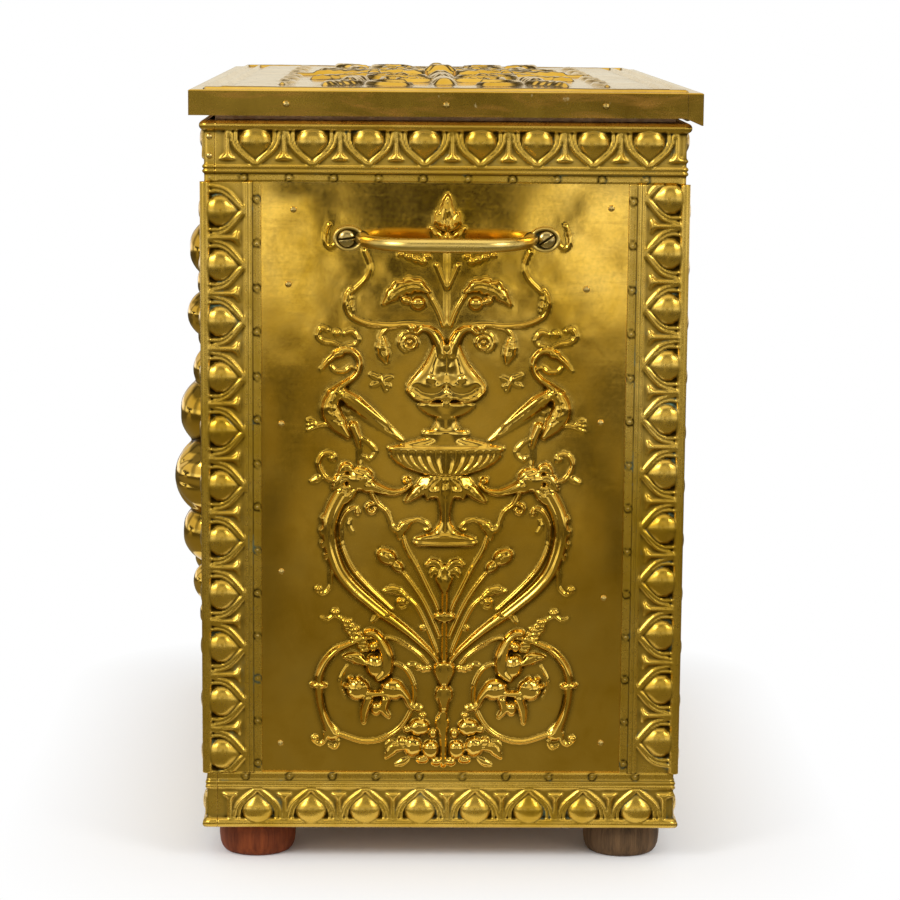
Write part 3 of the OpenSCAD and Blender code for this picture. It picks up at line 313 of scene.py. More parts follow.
def sheet_mesh(front, back, tolerance, hollow):
    """A closed sheet from two grids of points, front and back, with cells that are larger where the front is flat.
    Walls join them round the edge, and the back is ruled along the grid's first direction.
    Returns corners, the faces' corner numbers one after another, how many each face has, and how hollow each corner
    is: as given in front, and 0 behind."""
    n, m = front.shape[0] - 1, front.shape[1] - 1
    level = quad_levels(front, tolerance)
    number = np.arange((n + 1) * (m + 1)).reshape(n + 1, m + 1)
    pad = np.pad(level, 1, mode="edge")
    loops, counts = [], []
    for k in range(TOP_LEVEL + 1):
        size = 2 ** k
        if n % size or m % size:
            break
        i, j = np.nonzero(level[::size, ::size] == k)
        i, j = i * size, j * size
        if not len(i):
            continue
        half = size // 2
        corners = [number[i, j], number[i + size, j], number[i + size, j + size], number[i, j + size]]
        if k:
            middles = [number[i + half, j], number[i + size, j + half],
                       number[i + half, j + size], number[i, j + half]]
            split = [pad[i + 1, j] < k, pad[i + size + 1, j + 1] < k, pad[i + 1, j + size + 1] < k,
                     pad[i, j + 1] < k]
        else:
            middles, split = corners, [np.zeros(len(i), bool)] * 4
        ring = np.stack([c for pair in zip(corners, middles) for c in pair], axis=1)
        used = np.stack([u for flag in split for u in (np.ones(len(i), bool), flag)], axis=1)
        loops.append(ring[used])
        counts.append(used.sum(1))
    front_loops = np.concatenate(loops)
    shown = np.zeros((n + 1) * (m + 1), bool)
    shown[front_loops] = True
    base = (n + 1) * (m + 1)
    walls = []
    for e in (number[0, :], number[:, -1], number[-1, ::-1], number[::-1, 0]):
        e = e[shown[e]]
        walls.append(np.stack([e[:-1], e[1:], e[1:] + base, e[:-1] + base], axis=1))
    start, end = number[0, :][shown[number[0, :]]], number[-1, :][shown[number[-1, :]]]
    inner = np.stack([start[1:-2], start[2:-1], end[2:-1], end[1:-2]], axis=1) + base
    low = number[:, 0][shown[number[:, 0]]] + base
    high = number[:, -1][shown[number[:, -1]]] + base
    first = np.concatenate([low[::-1], [start[1] + base, end[1] + base]])
    last = np.concatenate([high, [end[-2] + base, start[-2] + base]])
    pieces = [front_loops] + [w.ravel() for w in walls] + [inner.ravel(), first, last]
    sizes = counts + [np.full(len(w), 4) for w in walls] + [np.full(len(inner), 4), [len(first)], [len(last)]]
    points = np.concatenate([front.reshape(-1, 3), back.reshape(-1, 3)])
    loops, sizes = np.concatenate(pieces), np.concatenate(sizes).astype(int)
    used = np.unique(loops)
    renumber = np.zeros(len(points), int)
    renumber[used] = np.arange(len(used))
    hollow = np.concatenate([hollow.ravel(), np.zeros(base)])
    return points[used], renumber[loops], sizes, hollow[used]


def in_scene(name, data):
    """A new object at the origin with that data."""
    thing = bpy.data.objects.new(name, data)
    bpy.context.scene.collection.objects.link(thing)
    return thing


def build(name, points, loops, sizes, material, body, slot, replaces, hollow=None):
    """Makes a mesh object at the origin from points in millimetres and faces, and lets it ride on its body."""
    mesh = bpy.data.meshes.new(name)
    mesh.vertices.add(len(points))
    mesh.vertices.foreach_set("co", (np.asarray(points) * MM).astype(np.float32).ravel())
    mesh.loops.add(len(loops))
    mesh.loops.foreach_set("vertex_index", np.asarray(loops, np.int32))
    mesh.polygons.add(len(sizes))
    mesh.polygons.foreach_set("loop_start", (np.cumsum(sizes) - sizes).astype(np.int32))
    mesh.update(calc_edges=True)
    mesh.validate()
    if hollow is not None:
        mesh.attributes.new("hollow", "FLOAT", "POINT").data.foreach_set("value", np.asarray(hollow, np.float32))
    mesh.polygons.foreach_set("use_smooth", np.full(len(mesh.polygons), True))
    mesh.materials.append(material)
    thing = in_scene(name, mesh)
    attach(thing, body)
    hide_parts(*replaces)


def outward(points, loops, sizes):
    """Turns every face over when the closed mesh's volume comes out negative."""
    ends = np.cumsum(sizes)
    starts = ends - sizes
    first = np.repeat(loops[starts], sizes)
    following = np.roll(loops, -1)
    following[ends - 1] = loops[starts]
    a, b, c = points[first], points[loops], points[following]
    volume = np.einsum("ij,ij->i", a, np.cross(b, c)).sum() / 6
    if volume < 0:
        loops = loops[np.repeat(starts + ends - 1, sizes) - np.arange(len(loops))]
    return loops


def sheet_piece(name, front, back, hollow, tolerance, material, slot, replaces, body="box"):
    """A worked sheet as a piece of the box or of the lid."""
    points, loops, sizes, hollow = sheet_mesh(front, back, tolerance, hollow)
    build(name, points, outward(points, loops, sizes), sizes, material, body, slot, replaces, hollow)


def grid_piece(name, p, material, slot, replaces, hollow=None, closed=False):
    """A grid of points, or several alike, as quads round its second direction. It also closes round its first one
    where closed says so, and else one face fills each end."""
    copies, n, m = (1,) * (4 - p.ndim) + p.shape[:-1]
    number = np.arange(n * m).reshape(n, m)
    i = np.arange(n if closed else n - 1)
    a, b = number[i], number[(i + 1) % n]
    quads = np.stack([a, b, np.roll(b, -1, axis=1), np.roll(a, -1, axis=1)], axis=-1).reshape(-1, 4)
    loops, sizes = [quads.ravel()], [np.full(len(quads), 4)]
    if not closed:
        loops += [number[0, :], number[-1, ::-1]]
        sizes += [[m], [m]]
    points = p.reshape(-1, 3)
    loops, sizes = np.concatenate(loops), np.tile(np.concatenate(sizes).astype(int), copies)
    loops = outward(points, (loops + n * m * np.arange(copies)[:, None]).ravel(), sizes)
    build(name, points, loops, sizes, material, "box", slot, replaces, None if hollow is None else np.ravel(hollow))


def turned_form(profile, n, rx=1.0, ry=1.0):
    """Points of a form turned about the vertical axis: rows of (radius, z), or of (share of rx and ry, z)."""
    rho, z = np.array(profile, float).T[:, :, None]
    a = np.linspace(0, 2 * np.pi, n, endpoint=False)
    return np.stack([rho * rx * np.cos(a), rho * ry * np.sin(a), z + 0 * a], axis=-1)


def end_place(x, y, z, side):
    """Local x across the end, y up and z out of the panel, as points of the box; side 1 is the right end."""
    return np.stack([side * (PANEL_X + z), side * x + BODY_MID_Y, y + 0 * x], axis=-1)


def front_place(x, y, z, side):
    """The same for the front, or for the back with side -1."""
    return np.stack([side * x, -side * (PANEL_Y + z) + BODY_MID_Y, y + 0 * x], axis=-1)


# Paint

class Wire:
    """A value in a material's node tree, with arithmetic."""

    def __init__(self, paint, socket):
        self.paint, self.socket = paint, socket

    def maths(self, operation, *others, clamp=False):
        node = self.paint.tree.nodes.new("ShaderNodeMath")
        node.operation, node.use_clamp = operation, clamp
        for place, value in zip(node.inputs, (self,) + others):
            self.paint.put(place, value)
        return Wire(self.paint, node.outputs[0])

    def __add__(self, other): return self.maths("ADD", other)
    def __sub__(self, other): return self.maths("SUBTRACT", other)
    def __mul__(self, other): return self.maths("MULTIPLY", other)
    def __rsub__(self, other): return (self * -1.0).maths("ADD", other)
    __radd__, __rmul__ = __add__, __mul__
    def power(self, other): return self.maths("POWER", other)
    def limit(self): return self.maths("ADD", 0.0, clamp=True)


class Paint:
    """A material and its node tree."""

    def __init__(self, name):
        self.material = bpy.data.materials.new(name)
        self.material.use_nodes = True
        self.tree = self.material.node_tree
        self.shader = self.tree.nodes["Principled BSDF"]

    def put(self, place, value):
        """Links a wire to an input, or sets it to a value or a colour."""
        if isinstance(value, Wire):
            self.tree.links.new(value.socket, place)
        elif isinstance(value, (tuple, list)) and len(value) == 3 and len(place.default_value) == 4:
            place.default_value = (*value, 1.0)
        else:
            place.default_value = value

    def node(self, kind, settings=None, out=0, **values):
        """A node of that kind with its settings and inputs; the inputs' names have _ for a space."""
        node = self.tree.nodes.new("ShaderNode" + kind)
        for key, value in (settings or {}).items():
            setattr(node, key, value)
        for key, value in values.items():
            self.put(node.inputs[key.replace("_", " ")], value)
        return Wire(self, node.outputs[out])

    def position(self):
        return self.node("TexCoord", out="Object")

    def axis(self, number):
        """One of the three Object coordinates."""
        return self.node("SeparateXYZ", out=number, Vector=self.position())

    def length(self, x, y):
        """sqrt(x^2 + y^2)"""
        return (x * x + y * y).power(0.5)

    def stretched(self, x, y, z):
        return self.node("Mapping", Vector=self.position(), Scale=(x, y, z))

    def noise(self, scale, detail=3.0, roughness=0.5, place=None, distortion=0.0):
        return self.node("TexNoise", Vector=place or self.position(), Scale=scale, Detail=detail,
                         Roughness=roughness, Distortion=distortion)

    def mask(self, value, low, high):
        """0 at low, 1 at high, limited in between."""
        return self.node("MapRange", {"clamp": True}, Value=value, From_Min=low, From_Max=high)

    def blend(self, factor, a, b):
        """Colour a where the factor is 0, and b where it is 1."""
        node = self.tree.nodes.new("ShaderNodeMix")
        node.data_type = "RGBA"
        for number, value in ((0, factor), (6, a), (7, b)):
            self.put(node.inputs[number], value)
        return Wire(self, node.outputs[2])

    def bump(self, height, strength):
        return self.node("Bump", Height=height, Strength=strength, Distance=0.0006)

    def set(self, **values):
        """Puts values into the plain shader's inputs."""
        for key, value in values.items():
            self.put(self.shader.inputs[key.replace("_", " ")], value)
        return self.material

    def surface(self, shader):
        """Shows another shader in place of the plain one."""
        self.put(self.tree.nodes["Material Output"].inputs["Surface"], shader)
        return self.material


def aged_brass(name, bright, deep, tarnish, polish=0.24, dirt=1.0, green=0.0, hollow=True, worn=0.0, lacquer=0.25):
    """Sheet brass that is polished now and then: bright on its high places under a thin lacquer, dark where cloth
    doesn't reach, with verdigris in the hollows and, on the lid's edge, patches worn to a warmer colour. On the
    handles the hollow attribute also holds painted shade, which darkens them the same way."""
    p = Paint(name)
    cloudy = p.noise(9.0, 4.0, 0.6)
    blotches = p.noise(38.0, 5.0, 0.65, distortion=0.6)
    fine = p.noise(420.0, 3.0, 0.6)
    hammered = p.noise(26.0, 1.5, 0.5)
    scratches = p.noise(30.0, 4.0, 0.7, p.stretched(1.0, 1.0, 9.0), 0.5)
    if hollow:
        low = p.node("Attribute", {"attribute_name": "hollow"}, out="Fac")
        low = p.mask(low + (blotches - 0.5) * 0.35, 0.18, 0.85)
    else:
        low = p.mask(blotches, 0.62, 0.9)
    tone = p.mask(cloudy + (blotches - 0.5) * 0.5, 0.3, 0.75)
    colour = p.blend(tone, deep, bright)
    colour = p.blend((low * dirt).limit(), colour, tarnish)
    if worn:
        streaks = p.noise(14.0, 6.0, 0.7, p.stretched(1.0, 1.0, 5.0), 1.0)
        colour = p.blend(p.mask(streaks, 0.48, 0.64) * worn, colour, (0.50, 0.25, 0.045))
        colour = p.blend(p.mask(p.noise(150.0, 3.0, 0.7), 0.68, 0.73) * worn, colour, (0.75, 0.60, 0.30))
    if green:
        crust = p.mask(p.noise(60.0, 5.0, 0.7), 0.56, 0.7) * low * green
        colour = p.blend(crust.limit(), colour, (0.16, 0.30, 0.22))
    rough = polish + low * 0.26 + p.mask(fine, 0.35, 0.8) * 0.05
    rough = rough + (1.0 - tone) * 0.05 + p.mask(scratches, 0.5, 0.8) * 0.05
    relief = p.bump(hammered * 0.9 + fine * 0.04, 0.25)
    return p.set(Base_Color=colour, Metallic=1.0, Roughness=rough, Normal=relief, Coat_Weight=(1.0 - low) * lacquer,
                 Coat_Roughness=0.14)


def wood(name, light, dark, scale, along):
    """Wood: long streaks of grain along one axis, with pores."""
    p = Paint(name)
    place = p.stretched(*(scale * (0.06 if a == along else 1.0) for a in range(3)))
    grain = p.noise(6.0, 6.0, 0.6, place, 0.8)
    pores = p.noise(40.0, 3.0, 0.6, place)
    tone = p.mask(grain + (pores - 0.5) * 0.3, 0.32, 0.7)
    return p.set(Base_Color=p.blend(tone, dark, light), Metallic=0.0, Roughness=0.5 + (1.0 - tone) * 0.15,
                 Specular_IOR_Level=0.12, Normal=p.bump(grain + pores * 0.5, 0.3))


PANEL_BRASS = aged_brass("panel_brass", (0.88, 0.565, 0.095), (0.60, 0.342, 0.016), (0.06, 0.029, 0.001),
                         0.065)
MOULDING_BRASS = aged_brass("moulding_brass", (0.88, 0.585, 0.11), (0.56, 0.335, 0.02), (0.04, 0.021, 0.001),
                            0.23, green=0.6)
RIM_BRASS = aged_brass("rim_brass", (0.40, 0.25, 0.03), (0.15, 0.085, 0.006), (0.03, 0.018, 0.003),
                       0.22, hollow=False, worn=0.7, lacquer=0.15)
# On the handles the hollow attribute holds painted shade round the screws and at the grip's roots, which this brass
# turns dark
HANDLE_BRASS = aged_brass("handle_brass", (0.92, 0.70, 0.24), (0.78, 0.54, 0.11), (0.06, 0.04, 0.010),
                          0.24, green=0.3)
NAIL_BRASS = aged_brass("nail_brass", (0.95, 0.72, 0.26), (0.74, 0.50, 0.12), (0.10, 0.07, 0.02),
                        0.20, 0.6, hollow=False, lacquer=0.2)
SCREW_BRASS = aged_brass("screw_brass", (0.78, 0.60, 0.26), (0.52, 0.38, 0.12), (0.05, 0.035, 0.010),
                         0.20)
HINGE_BRASS = aged_brass("hinge_brass", (0.50, 0.36, 0.13), (0.30, 0.21, 0.07), (0.08, 0.055, 0.02),
                         0.36, hollow=False)
STEEL = aged_brass("old_steel", (0.34, 0.32, 0.30), (0.20, 0.18, 0.17), (0.06, 0.045, 0.035),
                   0.42, hollow=False, lacquer=0.0)
PINE = wood("pine", (0.60, 0.40, 0.21), (0.36, 0.20, 0.09), 22.0, 0)
MAHOGANY = wood("mahogany", (0.23, 0.052, 0.012), (0.10, 0.022, 0.007), 40.0, 2)
OAK = wood("old_oak", (0.17, 0.095, 0.042), (0.055, 0.032, 0.016), 40.0, 2)

# The solids' own looks, by how their nodes' names start; the boards are pine
LOOKS = (
    (("nails_", "panel_pins", "lid_nails"), NAIL_BRASS),
    (("handle_screws", "hinge_body_screws", "hinge_lid_screws"), SCREW_BRASS),
    (("foot_screws",), STEEL), (("handle_",), HANDLE_BRASS), (("hinge_",), HINGE_BRASS), (("lid_rim",), RIM_BRASS),
    (("foot_front",), MAHOGANY), (("foot_back",), OAK), (("",), PANEL_BRASS),
)

for name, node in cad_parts.items():
    look = PINE if "_board" in name else next(paint for starts, paint in LOOKS if name.startswith(starts))
    for place in node.material_slots:
        place.material = look


# End panels

def draw_urn(r):
    """The urn on the middle line, from its leafy top down to its foot."""
    m = r.middle
    r.leaf([(m, 386), (m - 0.5, 395), (m, 405.4)], 4.4, 3.4, 2, vein=0.8)
    r.band([(m, 374), (m, 380), (m, 388)], (1.0, 2.4, 1.2), 2.4)
    for _ in r.halves():
        r.leaf([(m + 0.8, 385), (m + 4.6, 389), (m + 6.2, 395.6)], 3.0, 3.0, 2, vein=0.6)
        r.leaf([(m + 1.0, 380), (m + 5.6, 381.6), (m + 9.6, 386.4)], 2.7, 2.8, 2, vein=0.6)
        r.blob(m + 3.4, 376.4, 1.9, 1.6, 2.2)
    r.band([(m, 372), (m, 350), (m, 329)], (0.8, 1.0, 0.9), 1.6)
    r.turned([(317, 8.0), (312, 9.8), (307, 12.4), (302, 16.0), (297, 20.2), (293, 23.0), (289.5, 23.6),
              (286.5, 21.4), (284.4, 17.0)], 4.6, power=0.4)
    r.groove([(m, 312), (m, 306), (m, 300)], 5.2, 2.4)
    for _ in r.halves():
        r.groove([(m + 18, 291.6), (m + 13, 288.6), (m + 6, 288.4), (m, 292)], 1.6, 1.6)
        r.band([(m + 3.2, 312), (m + 4.6, 318.6), (m + 8.4, 324.8), (m + 13.6, 326.8), (m + 17.6, 324.0)],
               (4.4, 4.4, 3.6, 2.4, 1.4), (4.4, 4.8, 4.2, 3.0, 2.2))
        r.groove([(m + 1.6, 313), (m + 3.0, 319), (m + 6.6, 325)], 0.5, 1.0)
        r.leaf([(m + 3.4, 311.5), (m + 4.0, 306), (m + 2.2, 299.5)], 2.8, 3.8, 2, vein=0.6)
        r.blob(m + 9.0, 297.0, 4.2, 3.4, 5.4, 30)
        r.band([(m + 22, 289.0), (m + 18, 285.0), (m + 11, 283.8), (m + 5, 285.4), (m + 1.6, 283.4), (m, 280.8)],
               (1.0, 1.4, 1.3, 1.0), 4.8)
        r.blob(m + 20.6, 327.0, 2.6, 2.3, 2.8)
    r.band([(m, 293), (m, 287), (m, 281)], (1.0, 1.6, 0.9), 4.6)
    r.turned([(282.6, 15.5), (281, 17.0), (279.6, 16.6), (277.6, 14.5), (275.4, 11.5), (274, 7.5)], 3.8)
    r.turned([(275, 7), (272, 6.2), (269, 6.6), (266.5, 8.0), (265, 9.5)], 2.8)
    r.turned([(265.4, 12.6), (264, 13.8), (262, 13.8), (260.6, 12.0)], 3.4)
    r.turned([(260.6, 13.5), (259, 20), (257.4, 26), (256.4, 30.5), (255.6, 33.4)], 3.2, power=0.35)
    r.turned([(255.8, 33.8), (254.6, 34.8), (253.0, 33.8)], 5.0, power=0.4)
    r.turned([(253.4, 33.4), (250, 33.0), (246.4, 30.0), (243.6, 25.6), (241, 20.0), (238.8, 13.0)], 4.4,
             flutes=17, flute_h=1.7, power=0.38)
    r.turned([(239, 9), (237, 14.5), (234, 17.0), (230, 17.6), (227, 13), (225, 6)], 3.2)
    for _ in r.halves():
        r.leaf([(m + 3, 237.5), (m + 9.5, 231.5), (m + 10.5, 224.6)], 5.0, 4.8, 2, vein=0.9)
        r.leaf([(m + 10, 235), (m + 16.5, 228.5), (m + 23.5, 222.6)], 3.4, 3.6, 2, vein=0.7)
        r.blob(m + 7.4, 229.0, 4.2, 5.2, 4.8)
    r.leaf([(m, 238), (m, 231), (m, 224)], 3.2, 5.0, 2, vein=0.7)
    r.turned([(226, 6.0), (222, 4.2), (216, 3.0), (210, 3.4), (205, 6.2), (202.6, 10.0)], 3.2)
    r.turned([(203, 9), (201.4, 15), (199.8, 18.6), (196.6, 19.2), (195.2, 17.0)], 3.6, power=0.35)
    r.groove([(m - 19, 198.6), (m, 198.2), (m + 19, 198.6)], 0.5, 0.8)


def draw_top(r):
    """Strapwork, leaves and rings above the urn; one half."""
    r.band([(-47.6, 373), (-44.3, 364), (-46.7, 356.5), (-54, 349), (-58.6, 344), (-57.7, 337.5), (-54, 332.8),
            (-44.8, 329), (-32.9, 328), (-21.9, 328.6), (-8, 328)], (0.8, 1.0, 1.0, 1.3, 1.1, 0.9, 0.8),
           (1.4, 1.8, 2.2, 1.8, 1.5))
    r.leaf([(-55.6, 350.5), (-57, 343.5), (-54.6, 335.5)], 2.5, 2.4, 3)
    r.band([(-5.0, 364.5), (-2, 357.5), (1.0, 350.8)], (0.8, 0.9), 1.5)
    berries = (-21, 369.2, 2.0), (-16.8, 367.8, 2.4), (-13, 366.6, 2.4), (-10.4, 369.4, 1.8), (-26, 370.4, 1.5)
    for x, y, w in berries:
        r.blob(x, y, w, w * 0.85, 2.0)
    r.leaf([(-9.6, 348.5), (-17, 352.5), (-26, 350.5), (-31, 346.5), (-35.6, 341.6)], 5.2, 3.4, 5, notch=0.32,
           vein=0.7)
    r.blob(-15.6, 341.8, 4.4, 4.2, 3.6)
    r.blob(-22.6, 343.4, 3.4, 2.3, 2.6, -20)
    r.band([(-0.4, 328), (-3.8, 337), (-9.6, 347.5)], (1.0, 1.1, 0.8), 1.7)
    r.band([(-25.5, 328.4), (-33.8, 326.4), (-38, 320.5), (-37.4, 314)], (0.9, 1.1, 0.8), 1.6)
    r.leaf([(-36.4, 321), (-36.4, 314), (-34.4, 306.5)], 3.4, 2.6, 3)
    r.ring(-20.4, 318.4, 3.7, 1.0, 1.8)
    r.blob(-20.4, 318.4, 1.4, 1.4, 1.8)
    r.band(arc(-20.4, 318.4, 6.4, 60, 250, 5.6), (0.6, 0.9, 1.2, 0.8), 1.6)
    r.band([(-64, 377.2), (-68.2, 374.4), (-70.8, 378.3), (-70.0, 384.6), (-68.2, 388.4)], (0.6, 0.8, 0.9, 0.6),
           1.3)


def draw_bird(r):
    """A wading bird with a curved neck, standing on one leg and facing away from the urn."""
    r.band([(-60, 289), (-66, 284), (-67, 277), (-62.5, 269), (-57, 262)], (3.0, 6.0, 7.4, 6.2, 2.4),
           (4.2, 4.6, 4.8, 4.2, 3.0))
    r.band([(-64, 289), (-57, 285), (-47, 277), (-35, 267.5), (-24, 259)], (3.4, 5.6, 4.6, 2.8, 0.7),
           (4.6, 4.2, 3.0, 2.0, 1.1))
    for k in range(5):
        r.groove([(-61 + k * 1.2, 289.6 - k * 2.6), (-49 + k * 1.0, 280.0 - k * 2.1),
                  (-33 + k * 0.8, 267.6 - k * 1.1)], 0.45, 1.3)
    for k in range(3):
        for i in range(3):
            r.groove(arc(-66 + i * 4.4, 283.5 - k * 4.6 - i * 1.6, 2.2, 200, 330), 0.4, 0.6)
    r.band([(-66, 287), (-60, 292.5), (-54, 297), (-50.6, 302), (-50.8, 308.5), (-55, 313), (-60, 313.5),
            (-64, 311.4)], (4.4, 2.9, 2.0, 1.8, 1.8, 1.9, 2.4, 2.6), (4.2, 3.4, 2.8, 2.6, 2.8))
    r.blob(-62.0, 311.8, 3.6, 2.9, 3.4, 30)
    r.blob(-62.6, 312.6, 0.8, 0.8, 4.0)
    r.band([(-64.5, 310.4), (-69, 306.5), (-73, 301.5)], (1.9, 1.5, 0.5), (2.6, 1.4))
    r.band([(-67, 304), (-64.5, 301), (-59, 300.8), (-55.5, 303.4), (-52, 302.5)], (0.7, 1.0, 1.0, 0.8), 1.5)
    r.band([(-61, 315), (-66, 317.5), (-71.5, 318.5), (-75, 322), (-73, 326.5), (-69.5, 325.5)],
           (0.8, 1.0, 1.0, 1.3, 1.0), 1.5)
    r.band([(-58, 316), (-53, 317), (-51.5, 320.5), (-54.5, 324.5), (-59, 323.5)], (0.7, 0.9, 1.2, 0.9), 1.5)
    r.blob(-63.5, 323.6, 1.8, 1.8, 1.6)
    r.band([(-54, 268), (-51.5, 262), (-50.2, 256)], (3.6, 2.6, 1.5), (3.2, 2.6, 2.0))
    r.band([(-50.4, 257), (-50.6, 250), (-49.6, 243)], (1.1, 0.8, 0.8), 1.6)
    r.band([(-61, 265.5), (-66, 267), (-70.6, 268.8), (-75, 268)], (1.3, 0.9, 0.9, 0.8), 1.6)
    for dy in (-2.6, 0.4, 3.0):
        r.band([(-75, 268), (-78, 268.6 + dy * 0.7), (-80.6, 268 + dy)], (0.8, 0.8, 0.5), 1.4)
    r.band([(-49.4, 261), (-44.8, 258.2), (-40.4, 252.6), (-44.4, 247.6), (-46.9, 249.6)], (0.6, 0.9, 0.8, 0.6),
           1.4)
    r.band([(-38, 297.5), (-35.6, 292.5), (-34.4, 289)], (0.9, 1.0, 0.5), 1.5)
    for a, length in ((150, 8), (205, 7), (25, 6), (320, 5.5)):
        dx, dy = length * math.cos(math.radians(a)), length * math.sin(math.radians(a))
        r.leaf([(-36.6, 295), (-36.6 + dx / 2, 295 + dy / 2), (-36.6 + dx, 295 + dy)], 1.2, 1.1, 1, vein=0.2)


def draw_beast(r):
    """A scrolled beast: a leafy mane, a long snout, and a body that curls down to the middle column."""
    r.blob(-49.6, 236.0, 8.2, 7.4, 4.8, 15)
    r.blob(-44.8, 232.0, 5.8, 4.6, 4.6)
    r.blob(-46.5, 236.8, 1.6, 1.3, 5.2)
    r.groove([(-52, 241), (-47.6, 239.6), (-43.6, 236)], 0.5, 0.9)
    r.band([(-43, 232), (-36.5, 229.4), (-30, 228), (-23.6, 229), (-19.4, 232.6)], (4.4, 3.4, 2.4, 1.6, 1.2),
           (4.2, 3.2, 2.4))
    r.groove([(-42, 230.4), (-34, 227.8), (-25.6, 227.8)], 0.4, 0.9)
    r.blob(-21.4, 235.2, 2.4, 2.4, 2.6)
    mane = (([(-55, 236), (-60, 236.4), (-65.5, 230)], 3.8), ([(-55, 231), (-60, 228.6), (-64.5, 223.5)], 3.4),
            ([(-54, 241), (-58, 243), (-62, 240.4)], 3.0), ([(-52, 229.6), (-56, 225.6), (-58.6, 221.4)], 2.6))
    for points, w in mane:
        r.leaf(points, w, 3.8, 2, vein=0.7)
    r.band(arc(-42.3, 217.6, 3.4, 80, 380, 1.6), (1.3, 1.2, 0.9), 2.2)
    r.band([(-43, 228), (-39.4, 221), (-34, 216.4), (-31.4, 210.4), (-30.6, 206.4), (-27.6, 204.4)],
           (1.6, 1.2, 0.9, 0.7), (2.4, 1.6))
    r.band([(-61.2, 234.7), (-68.4, 235.4), (-72.6, 239.6), (-74.3, 246.0), (-70.9, 251.2), (-65.6, 250.6),
            (-65, 246.8)], (1.2, 1.4, 1.2, 1.0, 0.9), (2.2, 2.0, 1.6))
    r.blob(-66.4, 248.4, 1.6, 1.6, 1.8)
    r.leaf([(-71.5, 238), (-75, 235.6), (-78.6, 234)], 1.6, 1.6, 2)
    body = [(-61, 226), (-66, 216), (-68.2, 206), (-67.6, 198), (-65.4, 189), (-61.2, 179), (-54, 170),
            (-46, 162.6), (-34.4, 153.0), (-20.3, 142.2), (-8.8, 131.8), (-3.0, 125.0)]
    r.band(body, (5.4, 5.2, 5.0, 4.8, 4.6, 4.4, 4.2, 3.8, 3.2, 2.6, 2.0, 1.5), (4.0, 4.2, 4.0, 3.8, 3.4, 2.8, 2.2),
           power=0.5)
    r.groove([(x + 0.8, y + 0.3) for x, y in body[:9]], 1.0, 1.3)
    for x, y in ((-71.5, 212), (-72.4, 204.4), (-71.6, 196.8), (-69.6, 189.6)):
        r.leaf([(x + 3.4, y + 2.6), (x + 0.8, y + 1.2), (x - 0.4, y - 2.4)], 1.7, 2.6, 1, vein=0.3)
    r.band([(-66.4, 184), (-66.8, 176), (-67.6, 169.4), (-71.7, 165.6), (-75, 167.4)], (1.1, 1.0, 0.9, 0.8),
           (1.8, 1.3))
    r.blob(-74.6, 168.4, 1.9, 1.9, 1.9)
    r.band([(-50.6, 214.6), (-52.4, 218.4), (-57.0, 216.6), (-60.8, 210), (-61.4, 203), (-59.8, 193), (-54.8, 182),
            (-47, 172.4), (-38, 163.4), (-30, 156)], (0.9, 1.0, 1.1, 1.1, 1.0, 0.8), 1.9)
    r.blob(-51.2, 215.4, 1.6, 1.6, 1.8)
    r.band([(-55.4, 211), (-56, 207.4), (-54, 203.4)], (0.5, 0.9, 0.5), 1.2)


def draw_stems(r):
    """Stems, pods and leaves between the beast's body and the middle column."""
    r.leaf([(-26, 199.6), (-24.6, 205.4), (-19, 210.8)], 2.9, 2.6, 3)
    r.leaf([(-25, 203.6), (-28.6, 205.6), (-31, 208.6)], 1.8, 1.8, 2)
    r.band([(-19.6, 209.8), (-15, 211.4), (-10.4, 209.4), (-8.0, 206.0), (-10.4, 205.0)], (0.8, 1.0, 1.0, 0.8), 1.6)
    r.band([(-24.2, 201.4), (-21.3, 192.8), (-15, 181.6), (-8.7, 168.6), (-3.8, 158.4), (-1.6, 149.1)],
           (1.2, 1.2, 1.1), 1.8)
    r.blob(-33.4, 188.6, 6.4, 4.8, 4.2, -30, dimple=0.6)
    r.blob(-27.0, 182.6, 4.4, 3.0, 3.4, -45)
    for k in (-1, 1):
        r.groove([(-39 + k * 0.6, 191 + k * 2.4), (-33.5, 188.4 + k * 1.6), (-27, 183 + k * 0.8)], 0.4, 0.6)
    r.band([(-25, 180), (-19, 172.4), (-13, 163.5), (-7.7, 153.4), (-1.8, 139.4)], (1.1, 1.2, 1.1), 1.8)
    r.leaf([(-35, 167.4), (-29, 168), (-22, 165)], 2.4, 2.2, 3)
    r.band([(-24.4, 165.6), (-17.1, 160), (-11.9, 151.6), (-5.6, 137), (-2.8, 129)], (0.9, 1.0, 1.0), 1.7)
    r.blob(-24.4, 161.2, 2.9, 2.6, 2.6)
    r.band([(-27, 160), (-26, 157.6), (-22.6, 157.8), (-20.6, 160.4)], (0.6, 0.9, 0.7), 1.4)
    r.blob(-11.4, 144.8, 1.8, 1.8, 1.8)
    r.leaf([(-42, 148.4), (-38, 152.6), (-31, 150.4), (-27.6, 146.6)], 2.2, 2.2, 3)
    r.band([(-39.2, 139.4), (-30, 138.2), (-22, 134.4), (-14, 128.8), (-8.7, 122.6)], (0.9, 1.0, 1.0), 1.7)


